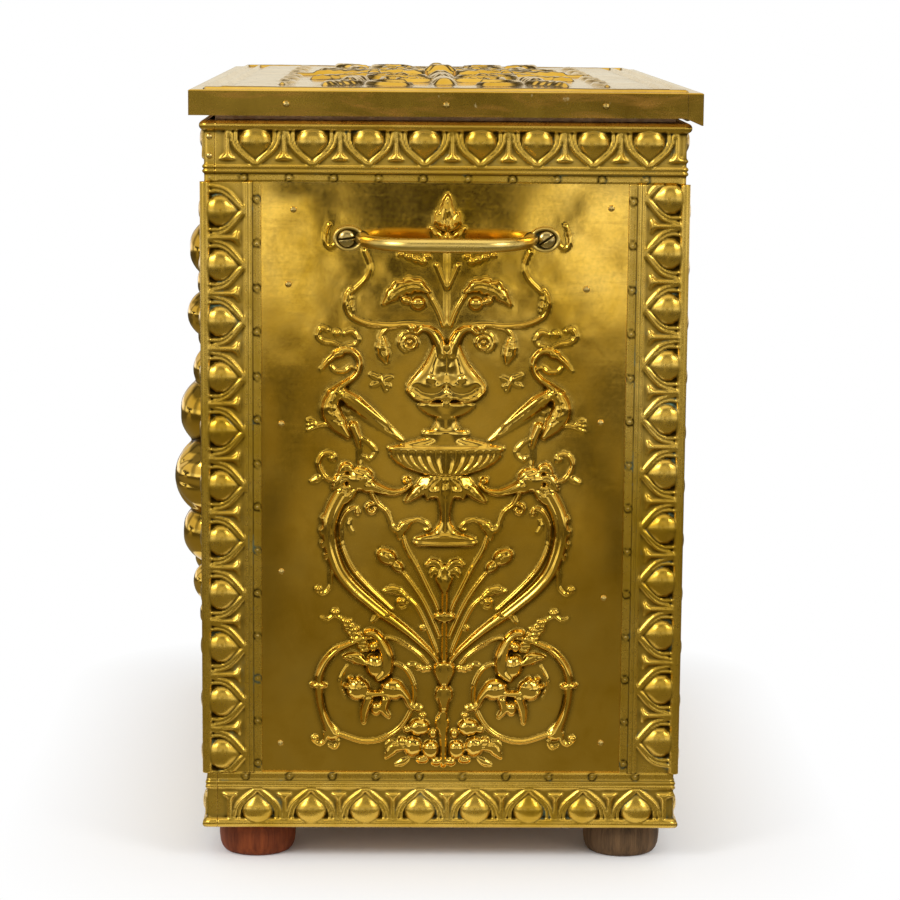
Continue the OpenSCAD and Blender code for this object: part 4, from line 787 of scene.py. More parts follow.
def draw_column(r):
    """The middle column with its palmette, ring and calyxes, and the leaf below."""
    m = r.middle
    for _ in r.halves():
        r.leaf([(m + 1.5, 181.4), (m + 6.2, 185.2), (m + 11.2, 183.4)], 2.3, 2.8, 3)
        r.leaf([(m + 1.5, 178), (m + 6, 180.4), (m + 8.4, 176.6)], 2.0, 2.4, 2)
    r.leaf([(m, 183.4), (m - 0.4, 176), (m, 167)], 5.0, 3.8, 2, vein=0.7)
    r.band([(m, 170), (m, 150), (m, 124)], (2.0, 1.8, 2.0), 2.4)
    r.turned([(154.4, 3), (153.2, 6.0), (150.8, 6.4), (149.4, 3)], 3.0, power=0.4)
    for top, w, h in ((124.0, 6.6, 4.6), (108.6, 5.4, 3.8)):
        r.turned([(top, w - 1.8), (top - 2.4, w - 0.4), (top - 6, w), (top - 10.5, w - 2.2), (top - 15, 2.2)], h)
        for s in (-1, 0, 1):
            r.groove([(m + s * 3, top - 2), (m + s * 3.6, top - 7), (m + s * 1.6, top - 12.5)], 0.5, 0.9)
    r.band([(m, 98), (m - 0.3, 86), (m, 60)], (1.9, 2.8, 1.8), 2.4)
    r.leaf([(m, 95), (m - 1, 86), (m, 77)], 4.0, 3.0, 2)
    for _ in r.halves():
        for x, y in ((15.6, 120.4), (12.4, 119.4), (9.4, 119.8)):
            r.blob(m + x, y, 1.9, 1.7, 2.0)
        r.band([(m + 22, 121.6), (m + 19, 122.8), (m + 15.4, 120.4)], (0.5, 0.9, 0.8), 1.4)


def draw_lower(r):
    """The big lower scroll with its collar, trumpet and tail."""
    r.band([(-38, 139), (-48, 137.8), (-56, 134.6), (-64, 130.6), (-70.4, 123.4), (-73.6, 116), (-74.3, 111)],
           (1.0, 1.4, 1.9, 2.5, 2.7, 2.6), (1.8, 2.4, 3.2, 3.2))
    r.groove([(-55, 133.4), (-62.6, 129.2), (-68.6, 122.4), (-71.8, 115.6)], 0.5, 0.8)
    r.blob(-74.3, 109.4, 5.4, 2.1, 3.6, -4)
    r.band([(-74, 107.4), (-73.4, 99.6), (-71.3, 91), (-68.6, 84.4), (-66, 79.2)], (2.8, 2.5, 2.4, 3.0, 5.0),
           (3.2, 3.0, 3.2))
    r.groove([(-71.6, 104), (-70, 95), (-66.8, 86), (-63.6, 80)], 0.6, 1.0)
    r.band([(-70.4, 80), (-70.4, 75.4), (-73.4, 72.6), (-77, 74.2)], (1.2, 1.0, 0.9, 0.7), (1.8, 1.3))
    r.blob(-76.6, 76.2, 2.1, 2.1, 2.0)
    r.band([(-66, 79), (-62.5, 74.5), (-64.4, 70.6), (-68, 72)], (1.2, 1.1, 0.8), 1.5)
    r.band([(-33.8, 123.4), (-26.6, 122.4), (-20.6, 118), (-16.5, 108.4), (-17.1, 97.1), (-23.4, 84.6),
            (-33.9, 76.8), (-46.5, 74.4), (-61.2, 78.7)], (0.9, 1.3, 1.3, 1.3, 1.3), (1.6, 2.0, 2.0))
    r.band([(-57.2, 121), (-60.4, 115), (-61.2, 109), (-58.4, 101.4)], (0.6, 0.9, 0.6), 1.4)
    r.leaf([(-21.3, 98.4), (-16, 96.4), (-11.6, 95.2)], 1.6, 1.8, 2)


def draw_figures(r):
    """Inside each lower scroll a small winged child, of no one in particular, reaches for grapes."""
    r.blob(-50.4, 107.0, 7.2, 6.8, 4.6, 20)
    for t in np.radians(range(0, 360, 60)):
        r.blob(-52.4 + 5.2 * math.cos(t), 109 + 4.6 * math.sin(t), 1.9, 1.7, 4.6)
    r.band([(-45, 142), (-41, 141.5), (-36.4, 136), (-33.4, 128), (-33.4, 119), (-38, 113.8)],
           (2.4, 3.4, 4.4, 5.2, 4.8, 3.0), (3.4, 4.4, 4.8, 4.8, 4.0))
    r.blob(-40.5, 121.5, 5.4, 7.6, 5.2, 10)
    r.blob(-41.4, 133.6, 3.6, 3.4, 4.6)
    r.leaf([(-45, 122.4), (-52, 126.4), (-59, 127.2)], 3.4, 3.4, 2)
    r.band([(-45, 104), (-37, 104.4), (-30, 105.4)], (3.0, 2.4, 3.0), 3.4)
    r.blob(-29.5, 107, 7.4, 6.6, 5.0, -20)
    r.band([(-26, 108), (-21.4, 102.4), (-18.6, 96.6), (-13, 94)], (4.0, 2.8, 1.8, 1.4), (4.0, 3.0, 1.8))
    r.band([(-44, 101.4), (-46.5, 93.6), (-47, 86.5)], (3.8, 3.2, 1.6), (3.8, 3.0, 2.0))
    r.band([(-34, 100.4), (-35, 94.6), (-32, 90.2)], (3.6, 3.0, 1.6), (3.6, 2.8, 2.0))
    r.blob(-39.5, 95, 3.2, 4.4, 3.2)
    rng = np.random.default_rng(5)
    for j in range(8):
        width = 3 if j in (2, 3, 4, 5) else 2
        for i in range(width):
            x = -57.6 + 1.6 * j + (i - (width - 1) / 2) * 2.9 + rng.uniform(-0.4, 0.4)
            r.blob(x, 148.6 - 2.5 * j + rng.uniform(-0.4, 0.4), 1.65, 1.65, 2.2)
    r.band([(-59, 149), (-64.6, 152.4), (-69, 149.8), (-72.6, 150.6)], (0.8, 0.9, 0.7, 0.5), 1.4)
    r.blob(-64.4, 154.0, 2.2, 2.2, 2.0)


def draw_fruit(r):
    """Fruit heaped at the foot of the ornament."""
    heap = ((-17.0, 71.4, 5.8, 6.4, 4.4), (-6.4, 69.6, 5.2, 6.0, 4.2), (-13.4, 83.4, 6.6, 5.6, 4.6),
            (-23.6, 74.6, 2.8, 3.0, 2.8), (-11.4, 63.4, 3.8, 2.4, 2.4), (-20.6, 82.0, 2.4, 2.4, 2.4),
            (-5.0, 79.4, 2.6, 3.2, 2.6), (-11.4, 90.4, 2.0, 2.0, 2.0), (-3.0, 62.0, 3.0, 2.4, 2.2))
    for x, y, rx, ry, h in heap:
        r.blob(x, y, rx, ry, h, dimple=0.5 if rx > 4 else 0.0, seams=5 if rx > 5.5 else 0)
    r.leaf([(-22, 70.4), (-28.4, 70.6), (-33.4, 64.6)], 3.2, 2.6, 3)
    r.leaf([(-25, 72.8), (-30.4, 74.2), (-33.6, 71.0)], 1.6, 1.8, 2)
    r.leaf([(-19, 64.6), (-23, 61.6), (-28, 59.6)], 1.6, 1.6, 2)


def end_relief():
    """The ornament of an end panel: the urn and the column on its middle line, and the rest on both sides of it."""
    r = Relief(-PANEL_Y, PANEL_Y, BODY_BOTTOM, BODY_TOP, END_STEP, RELIEF_MID)
    r.slim = 0.86
    draw_urn(r)
    draw_column(r)
    for _ in r.halves():
        for draw in (draw_top, draw_bird, draw_beast, draw_stems, draw_lower, draw_figures, draw_fruit):
            draw(r)
    return r


def worked_sheet(r, dent, seed, soft=0.7):
    """Softens the drawn relief as hammered sheet is soft, adds dents, and works out how hollow each place is."""
    x, y = r.grid()
    h = blur(r.h, soft)
    ground = 1 - smoothstep(h / 1.2)
    tooling = 0.012 * waves(x, y, 3.1, seed) + 0.03 * waves(x, y, 7.0, seed + 1)
    hollow = np.clip((blur(h, 3.2) - h) * 0.55 + 0.18 * ground, 0, 1)
    h = h + tooling * (2.0 - ground)
    h = h + dent * (waves(x, y, 62, seed + 2) + 0.6 * waves(x, y, 31, seed + 3) + 0.25 * waves(x, y, 15, seed + 4))
    return x, y, h, hollow


def inside_mouldings(x, y, half_w):
    """How far inside the mouldings a place of a panel is, whose strips begin at that half width."""
    return np.minimum(half_w - np.abs(x), np.minimum(y - STRIP_BOTTOM, STRIP_TOP - y))


def panel_piece(name, place, side, x, y, h, hollow, tolerance, node):
    """A panel's sheet: its face at height h over the panel, and flat behind."""
    front, back = place(x, y, h, side), place(x, y, np.full_like(h, -SHEET_T), side)
    sheet_piece(name, front, back, hollow, tolerance, PANEL_BRASS, "panel_brass", [node])


def make_end_panels():
    x, y, h, hollow = worked_sheet(end_relief(), 0.32, 11, soft=0.6)
    under = (np.abs(x) > BODY_D / 2 - MOULDING_W + 1) | (y < STRIP_BOTTOM + 1) | (y > STRIP_TOP - 1)
    edge = inside_mouldings(x, y, PANEL_Y - END_MARGIN)
    h = np.where(under, 0.0, h * smoothstep(edge / 6.0))
    for side, lr in ((1, "right"), (-1, "left")):
        panel_piece("embossed_end_" + lr, end_place, side, x, y, h, hollow, 0.10, "end_panel_" + lr)


make_end_panels()


# Egg and dart mouldings

# Half widths of an egg and of the two rims round it, from the lip towards the point: the inner rim hugs the egg,
# the outer one flares out at the lip like an ogee, and both meet below the point
EGG_B = (-8.6, -7.6, -5.4, -2.6, 0.0, 2.0, 4.0, 6.0, 8.0, 10.0, 11.5, 12.6)
EGG_HALF = (0.0, 4.0, 7.2, 8.9, 9.4, 9.2, 8.2, 6.4, 4.3, 2.3, 1.0, 0.0)
RIM_B = (-7.5, -5, -2.5, 0, 2.5, 5, 7.5, 10, 12.2, 14.0)
INNER_RIM = (10.6, 11.2, 11.4, 11.2, 10.3, 8.6, 6.2, 3.5, 1.2, 0.0)
OUTER_RIM = (15.3, 14.6, 14.1, 13.7, 12.9, 11.4, 9.0, 6.2, 3.6, 1.5)


def rim(a, b, widths, thick):
    """A rounded rim along a = w(b): 1 - (d / thick)^2 with the sideways distance d = (a - w) / sqrt(1 + w'^2)."""
    slope = np.gradient(np.asarray(widths), np.asarray(RIM_B))
    d = (a - np.interp(b, RIM_B, widths)) / np.sqrt(1 + np.interp(b, RIM_B, slope) ** 2)
    return np.clip(1 - (d / thick) ** 2, 0, None) ** 0.7 * ((b > RIM_B[0] - 0.6) & (b < RIM_B[-1] + 0.4))


def egg_and_dart(u, v, w, first, count, length, seed):
    """Height over the panel of the moulding at u along it and v in from its outer edge; w is its width."""
    ground_end, seat = w - FLANGE_W, EGG_SEAT - 1.0 - (MOULDING_W - w)
    bead = MOULDING_H - BEAD_R + np.sqrt(np.clip(BEAD_R ** 2 - (v - BEAD_R) ** 2, 0, None))
    h = np.where(v < ground_end, GROUND_H, SHEET_T)
    h = np.where(v < 2 * BEAD_R, np.maximum(bead, GROUND_H), h)
    for at in (ground_end - RIDGE_R, ground_end - 3.2 * RIDGE_R):
        h = np.maximum(h, GROUND_H + np.sqrt(np.clip(RIDGE_R ** 2 - (v - at) ** 2, 0, None)))
    k = np.clip(np.round((u - first) / EGG_PITCH), 0, count - 1)
    wobble = 0.5 * waves(k * 7.3, k * 0 + seed, 1.0, seed)
    a, b = np.abs(u - first - k * EGG_PITCH + wobble), v - seat
    inside = v > 2 * BEAD_R - 1.8
    deep = 1.0 * smoothstep((np.interp(b, RIM_B, INNER_RIM) - a) / 1.0) * smoothstep((v - 5) / 2)
    dome = 0.5 * np.sqrt(np.clip(np.interp(b, EGG_B, EGG_HALF) ** 2 - a ** 2, 0, None)) - 0.5
    relief = np.maximum(dome, np.maximum(1.9 * rim(a, b, INNER_RIM, 0.95), 1.9 * rim(a, b, OUTER_RIM, 1.15)) - 0.25)
    within = inside & (a < EGG_PITCH / 2 - 1) & (v < ground_end - 2.2 * RIDGE_R)
    h = np.where(within, np.maximum(h - deep, GROUND_H + relief), h)
    m = np.clip(np.round((u - first) / EGG_PITCH - 0.5), -1, count - 1)
    at = first + (m + 0.5) * EGG_PITCH
    end = seat + 11.6
    stem = 1.3 + 3.6 * smoothstep((v - end + 6.5) / 6.5) ** 2
    dart = 2.2 * np.clip(1 - ((u - at) / stem) ** 2, 0, None) ** 0.5
    dart = dart * smoothstep((v - 4.4) / 1.5) * smoothstep((end + 0.6 - v) / 1.4)
    fits = (at < length - 3) & (at > 3)
    return np.maximum(h, np.where(fits & (dart > 0), GROUND_H - 0.2 + dart, 0))


def nail_dirt(u, v, places, w):
    """The dark ring that polish leaves round each nail in the flange: 0.9 exp(-((r - 2.4) / 0.8)^2)."""
    ring = 0.0 * u
    for at in places:
        r = np.hypot(u - at, v - (w - FLANGE_W / 2))
        ring = np.maximum(ring, 0.9 * np.exp(-((r - 2.4) / 0.8) ** 2))
    return ring


def moulding_finish(h, v, u, w, seed, nails, nail_u):
    """Softens the embossing and works out how hollow each place is; polish doesn't reach the line along the flange
    or the rings round the nails, which lie at nail_u along the moulding."""
    soft = blur(h, 0.55)
    hollow = np.clip((blur(h, 2.6) - soft) * 0.75 + 0.16, 0, 1)
    flange = v > w - FLANGE_W + 0.4
    hollow = np.where(flange, 0.14, hollow)
    hollow = np.maximum(hollow, 0.9 * np.exp(-((v - w + FLANGE_W) / 0.5) ** 2))
    hollow = np.maximum(hollow, nail_dirt(nail_u, v, nails, w))
    bumps = 0.03 * waves(u, v, 5.0, seed) + 0.12 * waves(u, v, 16.0, seed + 1)
    return soft + bumps * smoothstep((v - 4) / 4) * np.where(flange, 0.5, 1.0), hollow


def strip_nails():
    """The nails' places down a corner strip, from its top."""
    return 10 + NAIL_PITCH * np.arange(int((STRIP_TOP - STRIP_BOTTOM) / NAIL_PITCH - 0.5) + 1)


def egg_count(length):
    """How many eggs a run of that length has."""
    return int((length - 2 * EGG_ROOM) / EGG_PITCH) + 1


def egg_margin(length):
    """Where the first egg's middle is when the eggs lie in the middle of a run of that length."""
    return (length - (egg_count(length) - 1) * EGG_PITCH) / 2


def make_corner_strip(sx, sy, name):
    """The strip runs down a corner: across it goes from one flange over the bead to the other."""
    length = STRIP_TOP - STRIP_BOTTOM
    u = np.linspace(0, length, grid_cells(length, ALONG_STEP) + 1)
    v = np.linspace(BEAD_R, MOULDING_W, grid_cells(MOULDING_W - BEAD_R, ACROSS_STEP) + 1)
    turn = np.linspace(0, math.pi / 2, 9)[1:-1]
    across = np.concatenate([v[::-1], np.full(len(turn), BEAD_R), v])
    first_side = EGG_PITCH / 2
    uu, vv = u[:, None] + 0 * across, across[None, :] + 0 * u[:, None]
    half = len(v)
    place = np.arange(len(across))
    end_leg = place < half
    seed = 40 + 3 * int(sx > 0) + int(sy > 0)
    count = egg_count(length - first_side + EGG_ROOM)
    start = first_side if sy < 0 else first_side - 8.5
    h_end = egg_and_dart(uu, vv, MOULDING_W, start, count, length, seed)
    h_face = egg_and_dart(uu, vv, MOULDING_W, first_side, count, length, seed + 9)
    h = np.where(end_leg, h_end, h_face)
    h, hollow = moulding_finish(h, vv, uu, MOULDING_W, seed, strip_nails(), uu)
    arc_part = (place >= half) & (place < half + len(turn))
    angle = np.concatenate([np.zeros(half), turn, np.full(half, math.pi / 2)])
    corner_x, corner_y = BODY_L / 2, -BODY_D / 2
    x = np.where(end_leg, PANEL_X + h, corner_x - vv)
    y = np.where(end_leg, corner_y + vv, -PANEL_Y - h)
    bead_x = corner_x - BEAD_R + BEAD_R * np.cos(angle)
    bead_y = corner_y + BEAD_R - BEAD_R * np.sin(angle)
    x, y = np.where(arc_part, bead_x, x), np.where(arc_part, bead_y, y)
    back_x = np.where(end_leg, PANEL_X, np.minimum(corner_x - vv, PANEL_X))
    back_y = np.where(end_leg, np.maximum(corner_y + vv, -PANEL_Y), -PANEL_Y)
    z = STRIP_TOP - uu
    front = np.stack([sx * x, -sy * y + BODY_MID_Y, z], axis=-1)
    back = np.stack([sx * back_x, -sy * back_y + BODY_MID_Y, z], axis=-1)
    sheet_piece(name + "_embossed", front, back, hollow, 0.06, MOULDING_BRASS, "moulding_brass", [name])


def run(start, end, cells):
    """Places along a straight run without its last one."""
    return np.linspace(start, end, cells + 1)[:-1]


def nail_run(half_w):
    """The nails' places along a face of that half width, from its middle."""
    count = int((2 * half_w - 2 * NAIL_INSET) / NAIL_PITCH) + 1
    return (np.arange(count) - (count - 1) / 2) * NAIL_PITCH


def make_band(name, w, top, base, normal, u, first, length, seed, nails, nail_u):
    """A band along the top or the base. base and normal are the x and y of where it lies in plan and of which way
    is out, and u and nail_u are how far along its eggs and its nails each place is. Across, it rolls over its bead
    and then lies on the panel."""
    base, normal = np.stack(base, 1), np.stack(normal, 1)
    v_in = np.linspace(BEAD_R, w, 49)
    roll = np.linspace(-math.pi / 2, 0, 8)[:-1]
    across = np.concatenate([[0.0], BEAD_R + BEAD_R * np.sin(roll), v_in])
    rise = np.concatenate([[0.5], MOULDING_H - BEAD_R + BEAD_R * np.cos(roll)])
    uu, vv = u[:, None] + 0 * across, across[None, :] + 0 * u[:, None]
    h = egg_and_dart(uu, vv, w, first, egg_count(length), length, seed)
    along = np.arange(len(u))[:, None] * ALONG_STEP + 0 * vv
    h, hollow = moulding_finish(h, vv, along, w, seed, nails, nail_u[:, None] + 0 * vv)
    h[:, :len(rise)] = rise
    z = (BODY_TOP - vv) if top else (BODY_BOTTOM + vv)
    front = np.stack([base[:, :1] + normal[:, :1] * h, base[:, 1:] + normal[:, 1:] * h + BODY_MID_Y, z], axis=-1)
    back = np.stack([base[:, :1] + 0 * h, base[:, 1:] + 0 * h + BODY_MID_Y, z], axis=-1)
    sheet_piece(name + "_embossed", front, back, hollow, 0.06, MOULDING_BRASS, "moulding_brass", [name])


def make_bands(w, top, word):
    """The four bands: the front one laps round both ends, the end ones lap round the back, and the back one is
    straight."""
    inset = MOULDING_H - GROUND_H
    lap_start = -BODY_D / 2 + CORNER_LAP
    face = run(-PANEL_X, PANEL_X, grid_cells(2 * PANEL_X, ALONG_STEP))
    lap = run(lap_start - LAP_GAP, -PANEL_Y, 8)
    ones, plain = np.ones(len(lap)), np.full(len(lap), NO_EGGS)
    x = np.concatenate([-PANEL_X * ones, face, [PANEL_X], PANEL_X * ones])
    y = np.concatenate([lap, -PANEL_Y + 0 * face, [-PANEL_Y], lap[::-1]])
    nx = np.concatenate([-ones, [-1.0], 0 * face[1:], [1.0], ones])
    ny = np.concatenate([0 * ones, -1 + 0 * face, [-1.0], 0 * ones])
    length = BODY_L - 2 * inset
    u = np.concatenate([plain, face + length / 2, [PANEL_X + length / 2], plain])
    make_band(word + "_band_front", w, top, (x, y), (nx, ny), u, egg_margin(length), length, 60 + top,
              nail_run(BODY_L / 2), np.where(u > NO_EGGS, u - length / 2, NO_EGGS))
    side = run(lap_start, PANEL_Y, grid_cells(PANEL_Y - lap_start, ALONG_STEP))
    back_lap = np.linspace(PANEL_X, BODY_L / 2 - CORNER_LAP, 9)[1:]
    x = np.concatenate([PANEL_X + 0 * side, [PANEL_X], back_lap])
    y = np.concatenate([side, [PANEL_Y], PANEL_Y + 0 * back_lap])
    nx = np.concatenate([1 + 0 * side, [1.0], 0 * back_lap])
    ny = np.concatenate([0 * side, [1.0], 1 + 0 * back_lap])
    u = np.concatenate([side - lap_start, [PANEL_Y - lap_start], np.full(len(back_lap), NO_EGGS)])
    side_l = BODY_D / 2 - inset - lap_start
    first = egg_margin(side_l) + 4 - (BODY_D / 2 - inset + lap_start) / 2
    for sign, lr in ((1, "right"), (-1, "left")):
        make_band(word + "_band_" + lr, w, top, (sign * x, y), (sign * nx, ny), u, first, side_l,
                  70 + top + 2 * sign, nail_run(BODY_D / 2), np.where(u > NO_EGGS, u + lap_start, NO_EGGS))
    back_l = BODY_L - 2 * (CORNER_LAP + LAP_GAP)
    face = np.linspace(-back_l / 2, back_l / 2, grid_cells(back_l, 1.0) + 1)
    make_band(word + "_band_back", w, top, (-face, PANEL_Y + 0 * face), (0 * face, 1 + 0 * face), face + back_l / 2,
              egg_margin(back_l), back_l, 80 + top, nail_run(BODY_L / 2), face)


for sx, lr in ((-1, "left"), (1, "right")):
    for sy, fb in ((-1, "front"), (1, "back")):
        make_corner_strip(sx, sy, "corner_strip_%s_%s" % (fb, lr))
make_bands(MOULDING_W, True, "top")
make_bands(BASE_MOULDING_W, False, "base")


# Front and back

def draw_fruit_drop(r):
    """One of the two hanging drops of fruit and leaves; its fruit stand out most."""
    for y in (384, 352, 338, 304, 276, 250, 210, 178, 146, 128):
        for s, a in ((-1, 150), (1, 30)):
            t = math.radians(a + 14 * math.sin(y))
            x0, y0, dx, dy = 157 + s * 6, y - (6 if s > 0 else 0), math.cos(t), math.sin(t)
            r.leaf([(x0, y0), (x0 + 15 * dx, y0 + 15 * dy + 2), (x0 + 31 * dx, y0 + 31 * dy - 3)], 8.0, 8.5, 4,
                   vein=1.6)
    fruit = ((160, 389, 9, 9.4, 0.8, 0), (163, 367, 20, 16.6, 2.4, 0), (150, 345, 15, 13.0, 1.4, 0),
             (165, 327, 16, 17.7, 0, 6), (146, 312, 14, 13.0, 1.6, 0), (162, 292, 17, 14.6, 0, 5),
             (158, 265, 24, 23.4, 3.0, 0), (164, 226, 27, 26.0, 0, 8), (140, 243, 13, 15.6, 1.2, 0),
             (160, 190, 21, 21.8, 2.6, 0), (145, 172, 13, 15.6, 1.2, 0), (162, 158, 14, 15.1, 0, 5),
             (155, 136, 11, 12.0, 1.0, 0), (155, 118, 8, 8.8, 0.8, 0))
    for x, y, size, h, dimple, seams in fruit:
        r.cap(x, y, size, h, dimple, seams, turn=x * 0.7)
    for x0, y0, rows in ((186, 300, 3), (128, 282, 3), (184, 252, 3), (180, 190, 3)):
        for j in range(rows):
            for i in range(rows - j):
                r.cap(x0 + (i - (rows - 1 - j) / 2) * 8.4, y0 - j * 7.6, 4.8, 7.5 - j)
    r.leaf([(155, 112), (146, 98), (143, 86)], 7.0, 7.5, 4, vein=1.5)
    r.leaf([(155, 112), (163, 99), (168, 87)], 7.0, 7.5, 4, vein=1.5)
    r.band([(160, 398), (150, 402), (138, 398), (132, 389), (137, 382), (144, 385)], (2.2, 3.0, 2.6, 1.8),
           (4.0, 4.5, 3.0))
    r.band([(160, 398), (172, 402), (184, 397), (188, 388), (183, 382)], (2.2, 3.0, 2.6, 1.8), (4.0, 4.5, 3.0))


def draw_front_urn(r):
    """The urn of fruit in the middle of the front."""
    r.turned([(96, 30), (100, 36), (106, 36), (112, 22), (122, 12), (132, 14), (144, 36), (164, 52), (188, 58),
              (200, 56), (204, 60), (212, 60), (214, 50)], 20.0)
    for i in range(-5, 6):
        h = (21.5 - abs(i) * 2.4, 21.0 - abs(i) * 2.6, 16 - abs(i) * 1.4)
        r.band([(i * 9.6, 197), (i * 7.4, 170), (i * 3.4, 146)], (4.4, 4.0, 2.0), h)
    for y in (199.5, 116, 109.5):
        r.groove([(-60, y), (0, y), (60, y)], 1.0, 1.8)
    for _ in r.halves():
        r.leaf([(44, 262), (56, 284), (74, 300)], 11, 9, 5, vein=1.8)
        r.leaf([(60, 236), (76, 246), (94, 250)], 9, 8, 4, vein=1.6)
        r.leaf([(14, 288), (20, 312), (26, 334)], 11, 9, 5, vein=1.8)
        r.leaf([(30, 280), (44, 304), (50, 322)], 9, 7, 5, vein=1.5)
        fruit = ((40, 226, 18, 16.1, 2.0, 0), (14, 236, 20, 20.3, 0, 7), (30, 262, 18, 17.2, 2.0, 0),
                 (55, 248, 12, 13.0, 1.2, 0))
        for x, y, size, h, dimple, seams in fruit:
            r.cap(x, y, size, h, dimple, seams, turn=x)
        r.spiral(78, 188, 17, 90, -1.4, 3.4, 7.5)
        r.band([(58, 205), (66, 208), (78, 205)], (3.0, 3.6, 3.2), 7.0)
        for j in range(4):
            for i in range(4 - j):
                r.cap(90 + (i - (3 - j) / 2) * 9.6, 248 - j * 8.6, 5.4, 8.4 - 0.6 * j)
    r.cap(0, 268, 17, 18.2, 2.2)
    r.cap(0, 298, 14, 15.6, 0, 5)
    r.leaf([(0, 306), (0, 322), (0, 340)], 9, 8, 4, vein=1.6)


def draw_front_scrolls(r):
    """Scrolls, rings and leaves that fill the front's corners, and the rosette over the urn."""
    for _ in r.halves():
        for x, y, size, turns in ((62, 370, 23, -1.6), (88, 120, 25, 1.6)):
            r.spiral(x, y, size, 200, turns, 3.2, 6.5)
            r.cap(x, y, 9, 8.5, 1.0)
        r.band([(40, 374), (28, 368), (15, 357)], (3.0, 4.0, 4.6), (6.0, 7.0))
        r.band([(66, 112), (48, 100), (30, 97)], (3.2, 4.4, 5.0), (6.0, 7.5))
        r.leaf([(62, 345), (68, 324), (72, 306)], 10, 7.5, 5, vein=1.6)
        r.leaf([(98, 145), (104, 164), (108, 184)], 10, 7.5, 5, vein=1.6)
        r.leaf([(88, 372), (104, 380), (118, 374)], 8, 6.0, 4, vein=1.4)
        r.leaf([(92, 350), (106, 336), (114, 318)], 8, 6.0, 4, vein=1.4)
        r.leaf([(112, 108), (124, 96), (134, 80)], 8, 6.0, 4, vein=1.4)
        r.leaf([(110, 134), (122, 146), (124, 164)], 7, 5.5, 4, vein=1.3)
        r.band([(50, 84), (74, 78), (100, 82), (126, 72), (150, 70)], (2.0, 3.0, 2.6, 2.0), (4.0, 5.0, 4.0))
        r.band([(196, 366), (204, 340), (198, 316), (206, 290)], (2.0, 3.0, 2.4, 1.6), (3.4, 4.4, 3.4))
        r.band([(198, 176), (206, 150), (200, 122), (192, 104)], (1.6, 2.8, 2.6, 1.6), (3.4, 4.4, 3.4))
    for a in np.radians(range(0, 360, 45)):
        r.cap(19 * math.cos(a), 362 + 19 * math.sin(a), 7.8, 7.8, 0.6)
    r.cap(0, 362, 13, 13.5, 1.6, 6)
    r.leaf([(0, 88), (0, 76), (0, 64)], 8, 6, 4, vein=1.4)


def make_front_panel():
    """The front with its hanging fruit, its urn and its scrolls."""
    r = Relief(-CASE_L / 2, CASE_L / 2, BODY_BOTTOM, BODY_TOP, FRONT_STEP)
    draw_front_urn(r)
    draw_front_scrolls(r)
    for _ in r.halves():
        draw_fruit_drop(r)
    x, y, h, hollow = worked_sheet(r, 0.35, 21, soft=0.8)
    edge = inside_mouldings(x, y, BODY_L / 2 - MOULDING_W - 1)
    h = np.where(edge < 0, 0.0, np.minimum(h, FRONT_REACH) * smoothstep(edge / 5.0))
    panel_piece("embossed_front", front_place, 1, x, y, h, hollow, 0.12, "front_panel")


def make_back_panel():
    """Plain sheet with soft dents."""
    r = Relief(-CASE_L / 2, CASE_L / 2, BODY_BOTTOM, BODY_TOP, BACK_STEP)
    x, y, h, _ = worked_sheet(r, 0.3, 31)
    edge = inside_mouldings(x, y, BODY_L / 2 - MOULDING_W - 1)
    h = np.where(edge < 0, 0.0, np.clip(h, -0.3, 1.0) * smoothstep(edge / 12.0))
    panel_piece("back_sheet", front_place, -1, x, y, h, 0.1 + 0 * h, 0.02, "back_panel")


make_front_panel()
make_back_panel()


# Lid

def draw_lid(r):
    """A rosette between scrolls and leaves, all lying inside two ridges."""
    for a in np.radians(range(0, 360, 45)):
        r.leaf([(d * math.cos(a), d * math.sin(a)) for d in (14, 25, 36)], 8.0, 5.6, 2, notch=0.1, vein=0.9)
    r.cap(0, 0, 14, 8.6, 1.2, 8)
    for _ in r.halves():
        for t in (-1, 1):
            r.spiral(74, t * 26, 24, 180, -t * 1.8, 2.6, 3.4)
            r.cap(74, t * 26, 6.5, 4.6, 0.6)
            r.spiral(122, t * 20, 15, 180, t * 1.5, 2.2, 3.0)
            r.cap(122, t * 20, 4.6, 3.6)
            r.leaf([(38, t * 26), (46, t * 46), (58, t * 64)], 7.5, 4.2, 5, vein=0.9)
            r.leaf([(92, t * 48), (110, t * 57), (132, t * 58)], 7.0, 4.0, 5, vein=0.9)
            r.leaf([(70, t * 54), (78, t * 70), (92, t * 82)], 6.5, 3.6, 4, vein=0.8)
            r.band([(96, t * 26), (104, t * 36), (116, t * 38), (128, t * 36)], (1.6, 2.4, 1.8), 3.2)
            r.band([(140, t * 24), (156, t * 40), (178, t * 46), (194, t * 38), (196, t * 26), (186, t * 20)],
                   (1.6, 2.4, 2.4, 2.0, 1.4), 3.0)
            r.leaf([(168, t * 50), (184, t * 66), (202, t * 72)], 7.0, 3.8, 5, vein=0.8)
            r.band([(8, t * 100), (40, t * 92), (70, t * 100), (100, t * 92), (130, t * 100), (160, t * 92),
                    (190, t * 98)], (1.4, 2.0, 2.0, 2.0, 2.0, 1.4), 2.2)
            r.cap(16, t * 44, 6.5, 4.8, 0.6)
        r.leaf([(38, 0), (68, 0), (100, 0)], 9, 5.0, 6, vein=1.0)
        r.leaf([(104, 0), (132, 0), (162, 0)], 8, 4.4, 6, vein=1.0)
        r.cap(172, 0, 7, 4.8, 0.7)
    for t in (-1, 1):
        r.leaf([(0, t * 38), (0, t * 60), (0, t * 82)], 10, 5.0, 5, vein=1.0)


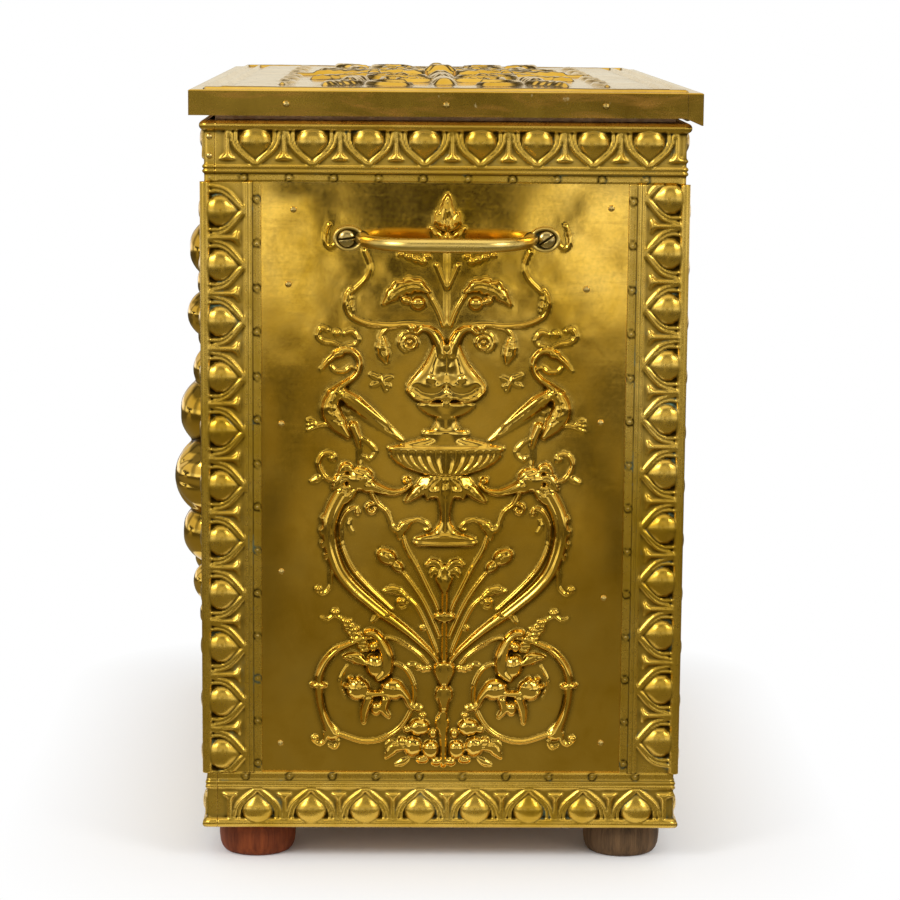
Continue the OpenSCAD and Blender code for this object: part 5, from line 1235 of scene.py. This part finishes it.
def make_lid_sheet():
    """The lid's sheet, with two ridges along its edge, a raised field and soft dents."""
    r = Relief(-LID_L / 2, LID_L / 2, -LID_D / 2, LID_D / 2, LID_STEP)
    draw_lid(r)
    x, y = r.grid()
    inward = np.minimum(LID_L / 2 - np.abs(x), LID_D / 2 - np.abs(y))
    h = blur(r.h, 0.8)
    hollow = np.clip((blur(h, 3.0) - h) * 0.4 + 0.1 * (h < 0.5), 0, 1)
    field_h, field_inset, ridge_r = 1.2, 22, 1.5
    h = h + field_h * smoothstep((inward - field_inset) / 6)
    for at in (10.0, 19.0):
        h = np.maximum(h, np.sqrt(np.clip(ridge_r ** 2 - (inward - at) ** 2, 0, None)))
    dents = 0.3 * waves(x, y, 58, 51) + 0.15 * waves(x, y, 24, 52) + 0.08 * waves(x, y, 5, 53)
    h = np.minimum(h + dents * smoothstep(inward / 8), LID_REACH)
    front = np.stack([x, y + BODY_MID_Y, LID_TOP + h - 0.5 * np.clip(1 - inward / 1.5, 0, None) ** 2], axis=-1)
    back = np.stack([x, y + BODY_MID_Y, np.full_like(h, LID_TOP - SHEET_T)], axis=-1)
    sheet_piece("embossed_lid", front, back, hollow, 0.07, PANEL_BRASS, "panel_brass", ["lid_top_sheet"], "lid")


make_lid_sheet()


# Feet, handles and nails

def make_feet():
    """Turned bun feet; their underside has the recess of the screw."""
    side = [(18.0, 0.0), (20.6, 0.5), (22.0, 2.4), (22.9, 5.0), (23.3, 8.0), (23.5, 11.0), (23.4, 14.0),
            (22.9, 17.0), (22.1, 19.6), (21.2, FOOT_H)]
    bore = [(12.0, FOOT_H), (FOOT_SCREW_R, FOOT_H), (FOOT_SCREW_R, 12.0), (FOOT_SCREW_R, 5.0), (4.5, 5.0),
            (4.5, 0.0), (10.0, 0.0)]
    shape = turned_form(side + bore, 72)
    for sx, lr in ((-1, "left"), (1, "right")):
        for sy, fb in ((-1, "front"), (1, "back")):
            p = shape + np.array([sx * FOOT_X, sy * FOOT_Y + BODY_MID_Y, 0.0])
            look, slot = (MAHOGANY, "foot_mahogany") if sy < 0 else (OAK, "foot_oak")
            foot = "foot_%s_%s" % (fb, lr)
            grid_piece("turned_" + foot, p, look, slot, [foot], closed=True)


make_feet()


def make_handles():
    """A cast bow on two dished oval plates, each held by a slotted round head screw."""
    bend = HANDLE_REACH - PLATE_T
    quarter = np.linspace(math.pi, math.pi / 2, 14)
    left = np.stack([-GRIP_ROOT + bend + bend * np.cos(quarter), PLATE_T + bend * np.sin(quarter)], axis=1)
    left = np.concatenate([[[-GRIP_ROOT, 1.2]], left])
    corners = np.concatenate([left, left[::-1] * [-1, 1]])
    path = np.repeat(corners, 2, axis=0)[:-1]
    path[1::2] = (corners[:-1] + corners[1:]) / 2
    path[:, 1] = np.convolve(np.pad(path[:, 1], 2, mode="edge"), np.ones(5) / 5, mode="valid")
    step = np.gradient(path, axis=0)
    step /= np.hypot(*step.T)[:, None]
    s = np.concatenate([[0], np.cumsum(np.hypot(*np.diff(path, axis=0).T))])
    s = np.abs(2 * s / s[-1] - 1)
    radius = np.interp(s, [0, 0.55, 0.86, 0.95, 1.0], [4.2, 3.9, 3.5, 3.6, 4.4])
    a = np.linspace(0, 2 * np.pi, 28, endpoint=False)
    x = path[:, :1] - radius[:, None] * np.cos(a) * step[:, 1:]
    out = path[:, 1:] + radius[:, None] * np.cos(a) * step[:, :1]
    y = radius[:, None] * np.sin(a) - np.clip(out - PLATE_T, 0, None) * math.sin(GRIP_DROOP)
    # Painted shade: the grip's colour darkens towards its roots at the plates, through the hollow attribute
    grip_root_shade = np.clip((s[:, None] - 0.93) / 0.07, 0, 1) + 0 * a
    plate = turned_form([(0.02, 0.1), (0.55, 0.1), (0.98, 0.1), (1.0, 0.8), (0.99, 2.2), (0.94, 2.9), (0.86, 3.0),
                         (0.78, 2.5), (0.70, 2.1), (0.4, 2.0), (0.02, 2.0)], 72, PLATE_RX, PLATE_RY)
    # Painted shade: the dish round the screw head, the slope into it and the plate's edge on the panel are painted
    # dark, through the hollow attribute
    plate_dish_shade = np.array([0, 0, 0.3, 0.3, 0.1, 0, 0, 0.6, 0.95, 0.9, 0.9])[:, None] + 0 * plate[..., 2]
    rho = np.concatenate([np.linspace(0.02, 1, 22), [1.0, 0.02]])
    dome = SCREW_HEAD_H * np.sqrt(np.clip(1.0 - 0.92 * rho ** 2, 0, None))
    dome[-2:] = 0
    head = turned_form(np.stack([rho, dome], 1), 96, SCREW_HEAD_R, SCREW_HEAD_R)
    for side, lr in ((1, "right"), (-1, "left")):
        grid_piece("bow_grip_" + lr, end_place(x + HANDLE_X, y + HANDLE_Z, out, side), HANDLE_BRASS, "handle_brass",
                   ["handle_" + lr], grip_root_shade)
        for s_end, word in ((-1, "front"), (1, "back")):
            centre = HANDLE_X + s_end * (HANDLE_SPAN / 2 - 1)
            p = end_place(plate[..., 0] + centre, plate[..., 1] + HANDLE_Z, plate[..., 2], side)
            grid_piece("handle_plate_%s_%s" % (lr, word), p, HANDLE_BRASS, "handle_brass", ["handle_" + lr],
                       plate_dish_shade)
            turn = math.radians(8 if s_end < 0 else 35)
            across = -head[..., 0] * math.sin(turn) + head[..., 1] * math.cos(turn)
            slot = smoothstep((0.75 - np.abs(across)) / 0.35) * (head[..., 2] > 0.1)
            z = head[..., 2] - 1.2 * slot * np.clip(head[..., 2] / 2.0, 0, 1) + PLATE_T - 1.0
            centre = HANDLE_X + s_end * HANDLE_SPAN / 2
            p = end_place(head[..., 0] + centre, head[..., 1] + HANDLE_Z, z, side)
            grid_piece("handle_screw_%s_%s" % (lr, word), p, SCREW_BRASS, "screw_brass", ["handle_screws_" + lr],
                       slot)


make_handles()


def make_nails():
    """Dome nails in the flanges of the strips and bands, and three on each lap of the top front band."""
    head = turned_form([(0.3, 1.25), (0.65, 1.0), (0.9, 0.55), (1.0, 0.0)], 10, NAIL_R, NAIL_R)
    rows = STRIP_TOP + FLANGE_W / 2, STRIP_BOTTOM - FLANGE_W / 2
    down = STRIP_TOP - strip_nails()
    lap_x, lap_nails = 138.6, ((439.4, GROUND_H), (428.2, GROUND_H), (415.4, SHEET_T))
    for name, half_w, place, side in (("front", BODY_L / 2, front_place, 1), ("back", BODY_L / 2, front_place, -1),
                                      ("right", BODY_D / 2, end_place, 1), ("left", BODY_D / 2, end_place, -1)):
        edge = half_w - MOULDING_W + FLANGE_W / 2
        at = [(x, y, SHEET_T) for y in rows for x in nail_run(half_w)]
        at += [(x, y, SHEET_T) for x in (-edge, edge) for y in down]
        if place is end_place:
            at += [(-side * lap_x, y, z) for y, z in lap_nails]
        p = head[None] + np.array(at)[:, None, None, :]
        grid_piece("dome_nails_" + name, place(p[..., 0], p[..., 1], p[..., 2], side), NAIL_BRASS, "nail_brass",
                   ["nails_" + name])


make_nails()


# Stage

def stage_piece(name, points, faces, material):
    """Something of the stage, which isn't part of the box."""
    mesh = bpy.data.meshes.new(name)
    mesh.from_pydata(points, [], faces)
    mesh.materials.append(material)
    thing = in_scene(name, mesh)
    return thing


def light_paths(tree):
    """1 for the rays that show the background: from the camera, and by way of metal or glass."""
    path = tree.nodes.new("ShaderNodeLightPath")
    total = path.outputs["Is Camera Ray"]
    for name in ("Is Glossy Ray", "Is Transmission Ray"):
        node = tree.nodes.new("ShaderNodeMath")
        node.operation = "MAXIMUM"
        tree.links.new(total, node.inputs[0])
        tree.links.new(path.outputs[name], node.inputs[1])
        total = node.outputs[0]
    return total


def pale_floor():
    """A white floor that takes the box's shadow near it and runs into the white background further off."""
    p = Paint("pale_floor")
    p.set(Base_Color=(0.92, 0.92, 0.92), Roughness=0.9, Metallic=0.0)
    x, y = p.axis(0).maths("ABSOLUTE") - 0.22, p.axis(1).maths("ABSOLUTE") - 0.12
    far = p.mask(p.length(x.maths("MAXIMUM", 0.0), y.maths("MAXIMUM", 0.0)), 0.0, 0.15)
    mix = p.tree.nodes.new("ShaderNodeMixShader")
    p.put(mix.inputs[0], far * Wire(p, light_paths(p.tree)))
    p.put(mix.inputs[1], Wire(p, p.shader.outputs[0]))
    p.put(mix.inputs[2], p.node("Emission"))
    return p.surface(Wire(p, mix.outputs[0]))


def studio_cards():
    """What the brass mirrors: pale screens with a dark gap opposite each face, and a dim ground before them.
    The screens are brightest below the box's top, dimmer between two faces and towards their upper edge, and the
    gap closes above the box. A panel overhead is lit, and the ground has a brighter stripe opposite each face and a
    brighter place round the box. The light is bluish on the screens' lower part, less so above, and else yellow."""
    p = Paint("studio_cards")
    x, y, z = p.axis(0).maths("ABSOLUTE"), (p.axis(1) - 0.03).maths("ABSOLUTE"), p.axis(2)
    aside, away = x.maths("MINIMUM", y), p.length(x, y)
    over_box = p.mask(z, 0.42, 0.50)
    gap = (1.0 - p.mask(aside - p.mask(z, 0.27, 0.33) * 0.35, 0.11, 0.17)) * (1.0 - over_box)
    between = p.mask(aside, 0.55, 0.75) * (1.0 - p.mask(aside, 1.0, 1.25))
    overhead = (1.0 - p.mask(away, 1.1, 1.5)) * p.mask(z, 1.6, 1.68)
    screen = (0.85 + 0.65 * (1.0 - p.mask(z, 0.36, 0.50))) * (1.0 - 0.98 * gap) * (1.0 - 0.6 * between)
    screen = screen * (1.0 - 0.75 * p.mask(z, 1.2, 1.6)) + overhead * 0.9
    stripe = (1.0 - p.mask(aside, 0.10, 0.22)) * p.mask(away, 0.7, 1.4)
    ground = 0.11 + stripe * 0.26 + 0.14 * (1.0 - p.mask(away, 0.6, 1.1))
    wall = p.mask(z, 0.05, 0.16)
    bluish = (wall * (1.0 - gap) * (1.0 - 0.6 * over_box)).limit()
    tint = p.blend(bluish, (1.0, 0.88, 0.5), (0.97, 1.0, 1.15))
    return p.surface(p.node("Emission", Strength=ground * (1.0 - wall) + screen * wall, Color=tint))


def make_cards():
    """The screens stand 2.3 m away all round under a ceiling, and only reflections see them."""
    n = 96
    rows = [(0.3, 0.002), (1.0, 0.002), (2.3, 0.002), (2.3, 0.4), (2.3, 1.7), (0.02, 1.7)]
    quads = [(k * n + i, k * n + (i + 1) % n, (k + 1) * n + (i + 1) % n, (k + 1) * n + i)
             for k in range(len(rows) - 1) for i in range(n)]
    thing = stage_piece("studio_cards", turned_form(rows, n).reshape(-1, 3).tolist(), quads, studio_cards())
    thing.visible_camera = thing.visible_diffuse = thing.visible_shadow = False
    thing.visible_transmission = thing.visible_volume_scatter = False


stage_piece("floor", [(-8, -8, 0), (8, -8, 0), (8, 8, 0), (-8, 8, 0)], [(0, 1, 2, 3)], pale_floor())
make_cards()

world = bpy.data.worlds.new("studio")
bpy.context.scene.world = world
world.use_nodes = True
tree = world.node_tree
background = tree.nodes["Background"]
strength = tree.nodes.new("ShaderNodeMapRange")
strength.inputs["To Min"].default_value = 0.75
strength.inputs["To Max"].default_value = 1.0
tree.links.new(light_paths(tree), strength.inputs["Value"])
tree.links.new(strength.outputs[0], background.inputs["Strength"])
background.inputs["Color"].default_value = (1, 1, 1, 1)

for name, y, power in (("left_softbox", -1.5, 22), ("right_softbox", 1.5, 14)):
    light = bpy.data.lights.new(name, "AREA")
    light.shape = "RECTANGLE"
    light.size, light.size_y = 0.7, 0.9
    light.energy = power
    softbox = in_scene(name, light)
    softbox.location = (1.5, y, 1.5)
    softbox.rotation_euler = Vector((0.1 - 1.5, -y, 0.3 - 1.5)).to_track_quat("-Z", "Y").to_euler()

# The camera is the one that fits the corners of the photographed end face
camera = bpy.data.cameras.new("camera")
camera.sensor_width = 36.0
camera.lens = 115.18
camera.clip_start = 0.05
eye = in_scene("camera", camera)
right, up, backward = (0.0186, 0.9998, 0.0083), (-0.1587, -0.0052, 0.9873), (0.9872, -0.0197, 0.1585)
eye.matrix_world = Matrix((*zip(right, up, backward, (1.9352, -0.0224, 0.5265)), (0, 0, 0, 1)))
bpy.context.scene.camera = eye

bpy.context.scene.view_settings.view_transform = "Standard"
